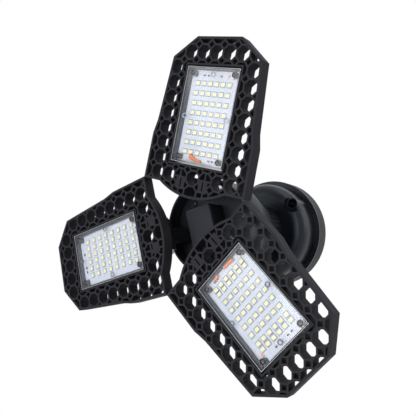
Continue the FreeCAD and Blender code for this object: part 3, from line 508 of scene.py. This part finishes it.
solder = skin(
    "solder_tin", (0.36, 0.37, 0.40), (0.26, 0.27, 0.30),
    (0.7, 0.7, 0.72), rough=(0.28, 0.45), grain=2600.0, height=0.00001, metal=1.0,
)
steel = skin(
    "screw_steel", (0.60, 0.60, 0.63), (0.48, 0.48, 0.51),
    (0.78, 0.78, 0.80), rough=(0.24, 0.38), grain=1600.0, height=0.000008, metal=1.0,
)
black_steel = skin(
    "black_steel", (0.035, 0.035, 0.038), (0.025, 0.025, 0.028),
    (0.2, 0.2, 0.2), rough=(0.3, 0.45), grain=1600.0, height=0.000008,
)
cap_metal = skin(
    "cap_nickel", (0.66, 0.64, 0.60), (0.55, 0.53, 0.50),
    (0.8, 0.79, 0.76), rough=(0.2, 0.34), grain=900.0, height=0.00001, metal=1.0,
)
tip_metal = skin(
    "tip_tin", (0.62, 0.62, 0.62), (0.50, 0.50, 0.51),
    (0.75, 0.75, 0.75), rough=(0.3, 0.45), grain=1400.0, height=0.00002, metal=1.0,
)
copper = skin(
    "bare_copper", (0.72, 0.33, 0.16), (0.60, 0.26, 0.12),
    (0.8, 0.5, 0.35), rough=(0.3, 0.45), grain=1200.0, height=0.000006, metal=0.8,
)
brass = skin(
    "contact_brass", (0.72, 0.50, 0.20), (0.60, 0.40, 0.15),
    (0.85, 0.66, 0.35), rough=(0.25, 0.4), grain=1200.0, height=0.00001, metal=1.0,
)
# grey under each LED package: partly its solder pads, partly painted shadow of the package
pad_and_shadow_skin = skin(
    "pad_and_painted_shadow", (0.33, 0.34, 0.38), (0.26, 0.27, 0.31),
    (0.5, 0.5, 0.52), rough=(0.35, 0.5), grain=1800.0, height=0.000004,
)
# slate grey of the clear lens's walls and posts: painted shade of the gap beside the board
lens_wall_shade_skin = skin(
    "lens_wall_painted_shade", (0.092, 0.106, 0.138), (0.068, 0.079, 0.104),
    (0.25, 0.26, 0.28), rough=(0.3, 0.45), grain=900.0, height=0.00001,
)
# pale tone of the lens's rounded edges and front line: a painted highlight
lens_highlight_skin = skin(
    "lens_painted_highlight", (0.84, 0.87, 0.92), (0.70, 0.73, 0.78),
    (0.6, 0.6, 0.62), rough=(0.2, 0.32), grain=900.0, height=0.000006,
)
pip_skin = skin(
    "lens_pip", (0.40, 0.42, 0.46), (0.30, 0.32, 0.36),
    (0.5, 0.5, 0.52), rough=(0.25, 0.4), grain=900.0, height=0.00001,
)
lead_skin = skin(
    "lead_orange", (0.82, 0.23, 0.050), (0.70, 0.17, 0.036),
    (0.9, 0.4, 0.2), rough=(0.38, 0.5), grain=1200.0, height=0.00001,
)
resistor_skin = skin(
    "resistor_body", (0.030, 0.030, 0.034), (0.020, 0.020, 0.024),
    (0.2, 0.2, 0.2), rough=(0.3, 0.45), grain=1600.0, height=0.000006,
)
clear = clear_material()
phosphor = phosphor_material()


# ------------------------------------------------------------------ making pieces
def mesh_of(bm, name):
    mesh = bpy.data.meshes.new(name)
    bm.to_mesh(mesh)
    bm.free()
    return mesh


def finished(bm, name, body, materials, stands_for=()):
    """Turns a bmesh into a piece that rides on a body and stands for the CAD nodes named."""
    mesh = mesh_of(bm, name)
    mesh.shade_smooth()
    mesh.set_sharp_from_angle(angle=SHARP_ANGLE)
    for material in materials:
        mesh.materials.append(material)
    piece = bpy.data.objects.new(name, mesh)
    bpy.context.scene.collection.objects.link(piece)
    weighted = piece.modifiers.new("weighted_normals", "WEIGHTED_NORMAL")
    weighted.keep_sharp = True
    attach(piece, body)
    if stands_for:
        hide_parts(*stands_for)


def closed_copy(node):
    """The CAD node's mesh with its loose triangles joined and its flat faces whole."""
    bm = bmesh.new()
    bm.from_mesh(frame["nodes"][node].data)
    bmesh.ops.remove_doubles(bm, verts=bm.verts, dist=SAME_POINT)
    bmesh.ops.dissolve_limit(bm, angle_limit=FLAT_ANGLE, verts=bm.verts, edges=bm.edges)
    return bm


def round_edges(bm, edges, width, segments, clamp=True):
    """Rounds edges, and gives back the faces that this makes."""
    made = bmesh.ops.bevel(
        bm, geom=edges, offset=width, offset_type="OFFSET", segments=segments, profile=0.5,
        affect="EDGES", clamp_overlap=clamp, material=-1,
    )
    return made["faces"]


def round_seams(bm):
    """Rounds the level seams between the cones that make up the dome's shoulder."""
    seams = []
    for edge in bm.edges:
        first, second = (vert.co for vert in edge.verts)
        level = abs(first.z - second.z) < SAME_POINT
        wide = min(first.xy.length, second.xy.length) > SHOULDER_RADIUS
        if level and wide and edge.is_manifold and SEAM_ANGLE < edge.calc_face_angle() < SHARP_ANGLE:
            seams.append(edge)
    round_edges(bm, seams, SEAM_WIDTH, SEAM_STEPS, clamp=False)


def sharp_edges(bm):
    return [edge for edge in bm.edges if edge.is_manifold and edge.calc_face_angle() > SHARP_ANGLE]


def softened(node, name, material, width, segments=2, curved=False):
    """A copy of the node whose sharp edges are broken by a small round."""
    bm = closed_copy(node)
    if curved:
        round_seams(bm)
    rounds = round_edges(bm, sharp_edges(bm), width, segments)
    rounded = set(rounds)
    # the round's faces are marked as edge; the skins draw them lighter, partly as wear and partly as a
    # painted highlight
    layer = bm.verts.layers.float.new("edge")
    for face in rounds:
        for vert in face.verts:
            if rounded.issuperset(vert.link_faces):
                vert[layer] = 1.0
    finished(bm, name, frame["nodes"][node]["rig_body"], [material], [node])


def loose_solids(node, place):
    """Lowest and highest corner of each separate solid in a CAD node, before it was placed."""
    bm = bmesh.new()
    bm.from_mesh(frame["nodes"][node].data)
    bm.transform(place.inverted())
    bmesh.ops.remove_doubles(bm, verts=bm.verts, dist=SAME_POINT)
    left = set(bm.verts)
    boxes = []
    while left:
        island = [left.pop()]
        for vert in island:
            for edge in vert.link_edges:
                other = edge.other_vert(vert)
                if other in left:
                    left.remove(other)
                    island.append(other)
        low = Vector(min(vert.co[axis] for vert in island) for axis in range(3))
        high = Vector(max(vert.co[axis] for vert in island) for axis in range(3))
        boxes.append((low, high))
    bm.free()
    return boxes


def stamped(stamp, places):
    """A bmesh with one copy of the stamp's mesh at each place."""
    bm = bmesh.new()
    for place in places:
        before = len(bm.verts)
        bm.from_mesh(stamp)
        bm.verts.ensure_lookup_table()
        bmesh.ops.transform(bm, matrix=place, verts=bm.verts[before:])
    return bm


def block(bm, size, centre, material_index=0):
    """Adds a block and gives back its corners."""
    corners = bmesh.ops.create_cube(bm, size=1.0)["verts"]
    bmesh.ops.scale(bm, vec=size, verts=corners)
    bmesh.ops.translate(bm, vec=centre, verts=corners)
    for face in {face for vert in corners for face in vert.link_faces}:
        face.material_index = material_index
    return corners


def full_spin(bm, parts):
    bmesh.ops.spin(
        bm, geom=parts, cent=(0, 0, 0), axis=(0, 0, 1), angle=math.tau, steps=ROUND_STEPS, use_merge=True
    )


def led_package(long, wide, thick):
    """One LED package, light side down: white body, sunk yellow window, solder at both ends."""
    bm = bmesh.new()
    block(bm, (long, wide, thick), (0.0, 0.0, 0.0))
    upright = [edge for edge in bm.edges if abs(edge.verts[0].co.z - edge.verts[1].co.z) > thick / 2]
    round_edges(bm, upright, LED_CORNER, 1, clamp=False)
    light = min(bm.faces, key=lambda face: face.calc_center_median().z)
    bmesh.ops.inset_individual(bm, faces=[light], thickness=LED_FRAME)
    bmesh.ops.scale(bm, vec=LED_WINDOW_SHAPE, verts=light.verts)
    bmesh.ops.translate(bm, vec=(0.0, LED_WINDOW_SHIFT, 0.0), verts=light.verts)
    bmesh.ops.inset_individual(bm, faces=[light], thickness=LED_FRAME_STEP, depth=-LED_WINDOW_SINK)
    light.material_index = 1
    # grey pad wider than the package: partly the solder pads, partly the package's painted shadow on the
    # board
    block(bm, (PAD_SHADOW_LONG, PAD_SHADOW_WIDE, PAD_SHADOW_THICK), (0.0, 0.0, (thick - PAD_SHADOW_THICK) / 2), 3)
    for side in (-1, 1):
        centre = (0.0, side * (wide + SOLDER_REACH) / 2, (thick - SOLDER_HIGH) / 2)
        foot = block(bm, (2 * SOLDER_HALF, SOLDER_REACH, SOLDER_HIGH), centre, 2)
        toe = []
        for vert in foot:
            low = vert.co.z < thick / 2 - SOLDER_HIGH / 2
            if low and side * vert.co.y > wide / 2 + SOLDER_REACH / 2:
                toe.append(vert)
        bmesh.ops.translate(bm, vec=(0.0, 0.0, SOLDER_HIGH * SOLDER_SLOPE), verts=toe)
    return mesh_of(bm, "led_package")


def cross_screw(head_radius, head_high, shank_radius, shank_long):
    """Pan-head screw with a cross recess. The head's seat is at z 0 and its top looks along +Z."""
    bm = bmesh.new()
    profile = [
        (0.0, -shank_long),
        (shank_radius * SHANK_END, -shank_long),
        (shank_radius, -shank_long + shank_radius * SHANK_POINT),
        (shank_radius, 0.0),
        (head_radius, 0.0),
    ]
    profile += [(head_radius * wide, head_high * high) for wide, high in HEAD_PROFILE]
    points = [bm.verts.new((radius, 0.0, z)) for radius, z in profile]
    full_spin(bm, points + [bm.edges.new(pair) for pair in zip(points, points[1:])])
    bmesh.ops.remove_doubles(bm, verts=bm.verts, dist=SAME_POINT)

    rim = [edge for edge in bm.edges if edge.is_boundary]
    flat = bmesh.ops.extrude_edge_only(bm, edges=rim)["geom"]
    for vert in [part for part in flat if isinstance(part, bmesh.types.BMVert)]:
        angle = math.atan2(vert.co.y, vert.co.x)
        off_arm = abs((angle + math.pi / 4) % (math.pi / 2) - math.pi / 4)
        reach = head_radius * RECESS_REACH / math.cos(off_arm)
        if off_arm > ON_ARM:
            reach = min(reach, head_radius * RECESS_HALF_WIDE / math.sin(off_arm))
        vert.co.x = reach * math.cos(angle)
        vert.co.y = reach * math.sin(angle)
    recess_rim = [part for part in flat if isinstance(part, bmesh.types.BMEdge) and part.is_boundary]
    deep = bmesh.ops.extrude_edge_only(bm, edges=recess_rim)["geom"]
    bottom = [part for part in deep if isinstance(part, bmesh.types.BMVert)]
    bmesh.ops.scale(bm, vec=(RECESS_TAPER, RECESS_TAPER, 1.0), verts=bottom)
    bmesh.ops.translate(bm, vec=(0.0, 0.0, -head_high * RECESS_DEEP), verts=bottom)
    bmesh.ops.holes_fill(bm, edges=[edge for edge in bm.edges if edge.is_boundary], sides=0)
    bmesh.ops.recalc_face_normals(bm, faces=bm.faces)
    return mesh_of(bm, "cross_screw")


def lens_piece(leaf, place):
    """The lens: clear face; its rounded edges and a line round its front are painted pale as a
    highlight, and its walls and posts behind it are painted slate grey as the shade of the gap beside
    the board.
    """
    bm = closed_copy(leaf + "_lens")
    round_edges(bm, sharp_edges(bm), LENS_ROUND, 2)
    flat = place.inverted()
    for face in bm.faces:
        height = (flat @ face.calc_center_median()).z
        # walls and posts: painted shade, slate grey
        if height > LENS_BACK_Z + LENS_WALL_START:
            face.material_index = 1
        elif LENS_FRONT_Z + LENS_ROUND_FOOT < height < LENS_FRONT_Z + LENS_ROUND_TOP:
            face.material_index = 2
    largest = max(face.calc_area() for face in bm.faces if face.material_index == 0)
    wide = [face for face in bm.faces if face.calc_area() > largest * 0.5]
    front = min(wide, key=lambda face: (flat @ face.calc_center_median()).z)
    # a pale line round the front face: painted highlight
    for face in bmesh.ops.inset_region(bm, faces=[front], thickness=LENS_HIGHLIGHT_LINE)["faces"]:
        face.material_index = 2
    materials = [clear, lens_wall_shade_skin, lens_highlight_skin]
    finished(bm, leaf + "_clear_lens", leaf, materials, [leaf + "_lens"])


def lens_pips(leaf, place):
    """Small moulded rings on the inside of the lens."""
    bm = bmesh.new()
    section = (
        (PIP_BORE, 0.0),
        (PIP_RADIUS, 0.0),
        (PIP_RADIUS * PIP_TAPER, PIP_HIGH),
        (PIP_BORE * PIP_FLARE, PIP_HIGH),
    )
    for along, side in PIP_PLACES:
        before = len(bm.verts)
        points = [bm.verts.new((radius, 0.0, z)) for radius, z in section]
        full_spin(bm, points + [bm.edges.new(pair) for pair in zip(points, points[1:] + points[:1])])
        bm.verts.ensure_lookup_table()
        spot = place @ Matrix.Translation((along * MM, side * MM, LENS_BACK_Z))
        bmesh.ops.transform(bm, matrix=spot, verts=bm.verts[before:])
    bmesh.ops.remove_doubles(bm, verts=bm.verts, dist=SAME_POINT)
    bmesh.ops.recalc_face_normals(bm, faces=bm.faces)
    finished(bm, leaf + "_lens_pips", leaf, [pip_skin])


def round_lead(bm, line):
    """A round wire along a line of points, closed at both ends."""
    rings = []
    for index, point in enumerate(line):
        ahead = line[min(index + 1, len(line) - 1)] - line[max(index - 1, 0)]
        turn = ahead.to_track_quat("Z", "Y").to_matrix()
        ring = []
        for side in range(LEAD_SIDES):
            angle = math.tau * side / LEAD_SIDES
            out = Vector((math.cos(angle), math.sin(angle), 0.0))
            ring.append(bm.verts.new(point + turn @ out * LEAD_RADIUS))
        rings.append(ring)
    for first, second in zip(rings, rings[1:]):
        for side in range(LEAD_SIDES):
            after = (side + 1) % LEAD_SIDES
            bm.faces.new((first[side], first[after], second[after], second[side]))
    bm.faces.new(rings[0])
    bm.faces.new(rings[-1])


def bend(points, steps):
    """A smooth line through three points."""
    first, middle, last = points
    handle = middle * 2 - (first + last) / 2
    line = []
    for step in range(steps + 1):
        t = step / steps
        line.append(first * (1 - t) ** 2 + handle * 2 * t * (1 - t) + last * t**2)
    return line


def board_leads(number, place):
    """The two orange leads soldered to the board's inner end."""
    leaf = "leaf_%d" % number
    height = BOARD_FACE_Z - LEAD_RADIUS * LEAD_CLEAR
    leads = bmesh.new()
    beads = bmesh.new()
    for path in LEAD_PATHS[number]:
        points = [place @ Vector((along * MM, side * MM, height)) for along, side in path]
        round_lead(leads, bend(points, LEAD_STEPS))
        along, side = path[0]
        bead = bmesh.ops.create_icosphere(beads, subdivisions=2, radius=BEAD_RADIUS)["verts"]
        bmesh.ops.scale(beads, vec=BEAD_SHAPE, verts=bead)
        spot = place @ Matrix.Translation((along * MM, side * MM, BOARD_FACE_Z - BEAD_RISE))
        bmesh.ops.transform(beads, matrix=spot, verts=bead)
    bmesh.ops.recalc_face_normals(leads, faces=leads.faces)
    finished(leads, leaf + "_board_leads", leaf, [lead_skin])
    finished(beads, leaf + "_lead_solder", leaf, [solder])


def board_resistors(leaf, place):
    """Small resistors with tinned ends on the board."""
    bm = bmesh.new()
    end_size = Vector(
        (RESISTOR_SIZE.x * RESISTOR_END_SIZE, RESISTOR_END, RESISTOR_SIZE.z * RESISTOR_END_SIZE)
    )
    for along, side in RESISTOR_PLACES:
        made = block(bm, RESISTOR_SIZE, (0.0, 0.0, 0.0))
        for end in (-1, 1):
            shift = end * (RESISTOR_SIZE.y - RESISTOR_END) / 2 * RESISTOR_END_SHIFT
            made += block(bm, end_size, (0.0, shift, 0.0), 1)
        spot = place @ Matrix.Translation((along * MM, side * MM, BOARD_FACE_Z - RESISTOR_SIZE.z / 2))
        bmesh.ops.transform(bm, matrix=spot, verts=made)
    round_edges(bm, sharp_edges(bm), RESISTOR_CORNER, 1, clamp=False)
    finished(bm, leaf + "_resistors", leaf, [resistor_skin, solder])


def copper_spot(number, place):
    """A round copper test point, free of the board's white mask."""
    leaf = "leaf_%d" % number
    bm = bmesh.new()
    made = bmesh.ops.create_cone(
        bm, cap_ends=True, segments=ROUND_STEPS, radius1=COPPER_RADIUS * COPPER_TAPER,
        radius2=COPPER_RADIUS, depth=COPPER_THICK,
    )["verts"]
    along, side = COPPER_SPOTS[number]
    spot = place @ Matrix.Translation((along * MM, side * MM, BOARD_FACE_Z - COPPER_THICK / 2))
    bmesh.ops.transform(bm, matrix=spot, verts=made)
    finished(bm, leaf + "_copper_spot", leaf, [copper])


def screws(node, name, body, stamp, seats, metal):
    finished(stamped(stamp, seats), name, body, [metal], [node])


def leaf_place(number):
    """Takes a leaf drawn flat along +X to its own direction and tilt."""
    tilt = Matrix.Translation(HINGE_PIN) @ Matrix.Rotation(LEAF_TILTS[number], 4, "Y")
    return Matrix.Rotation(LEAF_TURNS[number], 4, "Z") @ tilt @ Matrix.Translation(-HINGE_PIN)


def paint(node, material):
    mesh = frame["nodes"][node].data
    if mesh.materials:
        for index in range(len(mesh.materials)):
            mesh.materials[index] = material
    else:
        mesh.materials.append(material)


# ------------------------------------------------------------------ leaves
LENS_SCREW = cross_screw(
    head_radius=2.1 * MM, head_high=LENS_HEAD_HIGH, shank_radius=1.1 * MM, shank_long=4.0 * MM
)
HINGE_SCREW = cross_screw(
    head_radius=3.6 * MM, head_high=2.6 * MM, shank_radius=2.0 * MM, shank_long=29.7 * MM
)
HUB_SCREW = cross_screw(
    head_radius=2.8 * MM, head_high=HUB_HEAD_HIGH, shank_radius=1.5 * MM, shank_long=29.0 * MM
)
LED = led_package(long=2.8 * MM, wide=3.5 * MM, thick=0.7 * MM)

for number, turn in LEAF_TURNS.items():
    leaf = "leaf_%d" % number
    place = leaf_place(number)
    softened(leaf + "_frame", leaf + "_cast_frame", coat, width=0.28 * MM)
    lens_piece(leaf, place)
    lens_pips(leaf, place)
    board_resistors(leaf, place)
    if number in LEAD_PATHS:
        copper_spot(number, place)
        board_leads(number, place)
    softened(leaf + "_hinge_nut", leaf + "_nut", steel, width=0.3 * MM)
    softened(leaf + "_hinge_washers", leaf + "_washers", steel, width=0.08 * MM)
    aluminium = streaked_metal(
        leaf + "_aluminium", (0.78, 0.79, 0.80), (0.62, 0.63, 0.65), rough=(0.28, 0.42), turn=-turn
    )
    softened(leaf + "_heat_plate", leaf + "_finned_plate", aluminium, width=0.15 * MM)
    board = board_material(leaf + "_board_mask", turn)
    softened(leaf + "_led_board", leaf + "_board", board, width=0.1 * MM, segments=1)

    places = []
    for low, high in loose_solids(leaf + "_led_chips", place):
        places.append(place @ Matrix.Translation((low + high) / 2))
    materials = [package_skin, phosphor, solder, pad_and_shadow_skin]
    packages = stamped(LED, places)
    finished(packages, leaf + "_led_packages", leaf, materials, [leaf + "_led_chips"])

    seats = []
    for low, high in loose_solids(leaf + "_lens_screws", place):
        seat_at = ((low.x + high.x) / 2, (low.y + high.y) / 2, high.z - LENS_HEAD_HIGH)
        seats.append(place @ Matrix.Translation(seat_at))
    screws(leaf + "_lens_screws", leaf + "_lens_cross_screws", leaf, LENS_SCREW, seats, steel)

    seat = place @ Matrix.Translation(HINGE_HEAD_AT) @ Matrix.Rotation(-math.pi / 2, 4, "X")
    screws(leaf + "_hinge_screw", leaf + "_hinge_cross_screw", leaf, HINGE_SCREW, [seat], steel)

# ------------------------------------------------------------------ hub and lampholder
SOFTENED = (
    # CAD node, piece, material, slot, width of the rounds
    ("hub_front", "hub_cup", hub_skin, "hub_plastic", 0.3 * MM),
    ("hub_rear", "hub_shell", hub_skin, "hub_plastic", 0.3 * MM),
    ("wiring_cover", "wiring_block", hub_skin, "hub_plastic", 0.2 * MM),
    ("base_ring", "ceiling_ring", ring_skin, "ring_matte", 0.3 * MM),
    ("base_dome", "holder_dome", dome_skin, "dome_gloss", 0.25 * MM),
    ("socket_sleeve", "ribbed_sleeve", sleeve_skin, "sleeve_black", 0.2 * MM),
    ("cap_collar", "base_collar", insulator_skin, "insulator_dark", 0.2 * MM),
)
for node, name, material, slot, width in SOFTENED:
    softened(node, name, material, width, curved=node == "base_dome")

hub_seats = []
for low, high in loose_solids("hub_screws", Matrix.Identity(4)):
    middle = Matrix.Translation(((low.x + high.x) / 2, (low.y + high.y) / 2, low.z + HUB_HEAD_HIGH))
    hub_seats.append(middle @ Matrix.Rotation(math.pi, 4, "X"))
screws("hub_screws", "hub_cross_screws", "lamp", HUB_SCREW, hub_seats, black_steel)

PAINTED = {
    "wiring_cover_screws": steel,
    "driver_board": green_skin,
    "driver_capacitors": can_skin,
    "transformer_core": ferrite_skin,
    "transformer_winding": tape_skin,
    "cap_shell": cap_metal,
    "cap_insulator": insulator_skin,
    "cap_tip": tip_metal,
    "socket_body": socket_skin,
    "socket_shell": brass,
    "socket_contact": brass,
    "socket_screws": steel,
    "terminal_plates": brass,
    "terminal_screws": steel,
}
for node, material in PAINTED.items():
    paint(node, material)


# ------------------------------------------------------------------ camera, light, floor
def placed(name, data):
    item = bpy.data.objects.new(name, data)
    bpy.context.scene.collection.objects.link(item)
    return item


def add_camera():
    data = bpy.data.cameras.new("camera")
    data.lens = CAMERA_LENS
    data.sensor_width = CAMERA_SENSOR
    data.clip_start = CAMERA_NEAR
    camera = placed("camera", data)
    axes = Matrix((CAMERA_RIGHT, CAMERA_UP, CAMERA_BACK)).transposed()
    camera.matrix_world = Matrix.Translation(CAMERA_AT) @ axes.to_4x4()
    bpy.context.scene.camera = camera


def add_softbox(name, towards, distance, size, power):
    """A square lamp that faces the object from the given direction, seen in the camera's axes."""
    data = bpy.data.lights.new(name, "AREA")
    data.size = size
    data.energy = power
    lamp = placed(name, data)
    right, up, back = towards
    away = (CAMERA_RIGHT * right + CAMERA_UP * up + CAMERA_BACK * back).normalized()
    lamp.location = MIDDLE + away * distance
    lamp.rotation_mode = "QUATERNION"
    lamp.rotation_quaternion = away.to_track_quat("Z", "Y")


def add_strip_lamp():
    """A narrow lamp whose mirror image lies in the lenses of leaves 1 and 3."""
    data = bpy.data.lights.new("strip_lamp", "AREA")
    data.shape = "RECTANGLE"
    data.size = STRIP_LONG
    data.size_y = STRIP_WIDE
    data.energy = STRIP_POWER
    lamp = placed("strip_lamp", data)
    away = (STRIP_AT - MIDDLE).normalized()
    along = (STRIP_TO - STRIP_AT).normalized()
    side = away.cross(along).normalized()
    along = side.cross(away)
    axes = Matrix((along, side, away)).transposed()
    lamp.matrix_world = Matrix.Translation(STRIP_AT) @ axes.to_4x4()


def background_rays(tree):
    """1 for the camera and for what metal and glass show, 0 for the light on the object."""
    path = tree.nodes.new("ShaderNodeLightPath")
    seen = add_math(tree, "MAXIMUM", path.outputs["Is Camera Ray"], path.outputs["Is Glossy Ray"])
    return add_math(tree, "MAXIMUM", seen, path.outputs["Is Transmission Ray"])


def add_floor():
    bm = bmesh.new()
    bmesh.ops.create_grid(bm, x_segments=2, y_segments=2, size=FLOOR_HALF)
    bmesh.ops.translate(bm, vec=(0.0, 0.0, FLOOR_Z), verts=bm.verts)
    floor = placed("floor", mesh_of(bm, "floor"))
    material, tree, shader = blank_material("floor_pale")
    shader.inputs["Base Color"].default_value = FLOOR_COLOUR
    shader.inputs["Roughness"].default_value = FLOOR_ROUGH
    shader.inputs["Emission Color"].default_value = (1.0, 1.0, 1.0, 1.0)
    path = tree.nodes.new("ShaderNodeLightPath")
    extra = add_math(tree, "MULTIPLY", path.outputs["Is Camera Ray"], FLOOR_CAMERA_GLOW)
    glow = add_math(tree, "ADD", ranged(tree, background_rays(tree), 0.0, FLOOR_GLOW), extra)
    feed(tree, shader.inputs["Emission Strength"], glow)
    floor.data.materials.append(material)


def set_world():
    """White for the camera, and for metal and glass. Plain grey light for everything else."""
    world = bpy.data.worlds.new("studio")
    world.use_nodes = True
    tree = world.node_tree
    tree.nodes.clear()
    back = tree.nodes.new("ShaderNodeBackground")
    output = tree.nodes.new("ShaderNodeOutputWorld")
    feed(tree, back.inputs["Color"], WHITE)
    feed(tree, back.inputs["Strength"], ranged(tree, background_rays(tree), WORLD_LIGHT, 1.0))
    tree.links.new(back.outputs["Background"], output.inputs["Surface"])
    bpy.context.scene.world = world


add_camera()
for softbox in SOFTBOXES:
    add_softbox(*softbox)
add_strip_lamp()
add_floor()
set_world()
bpy.context.scene.view_settings.view_transform = "Standard"
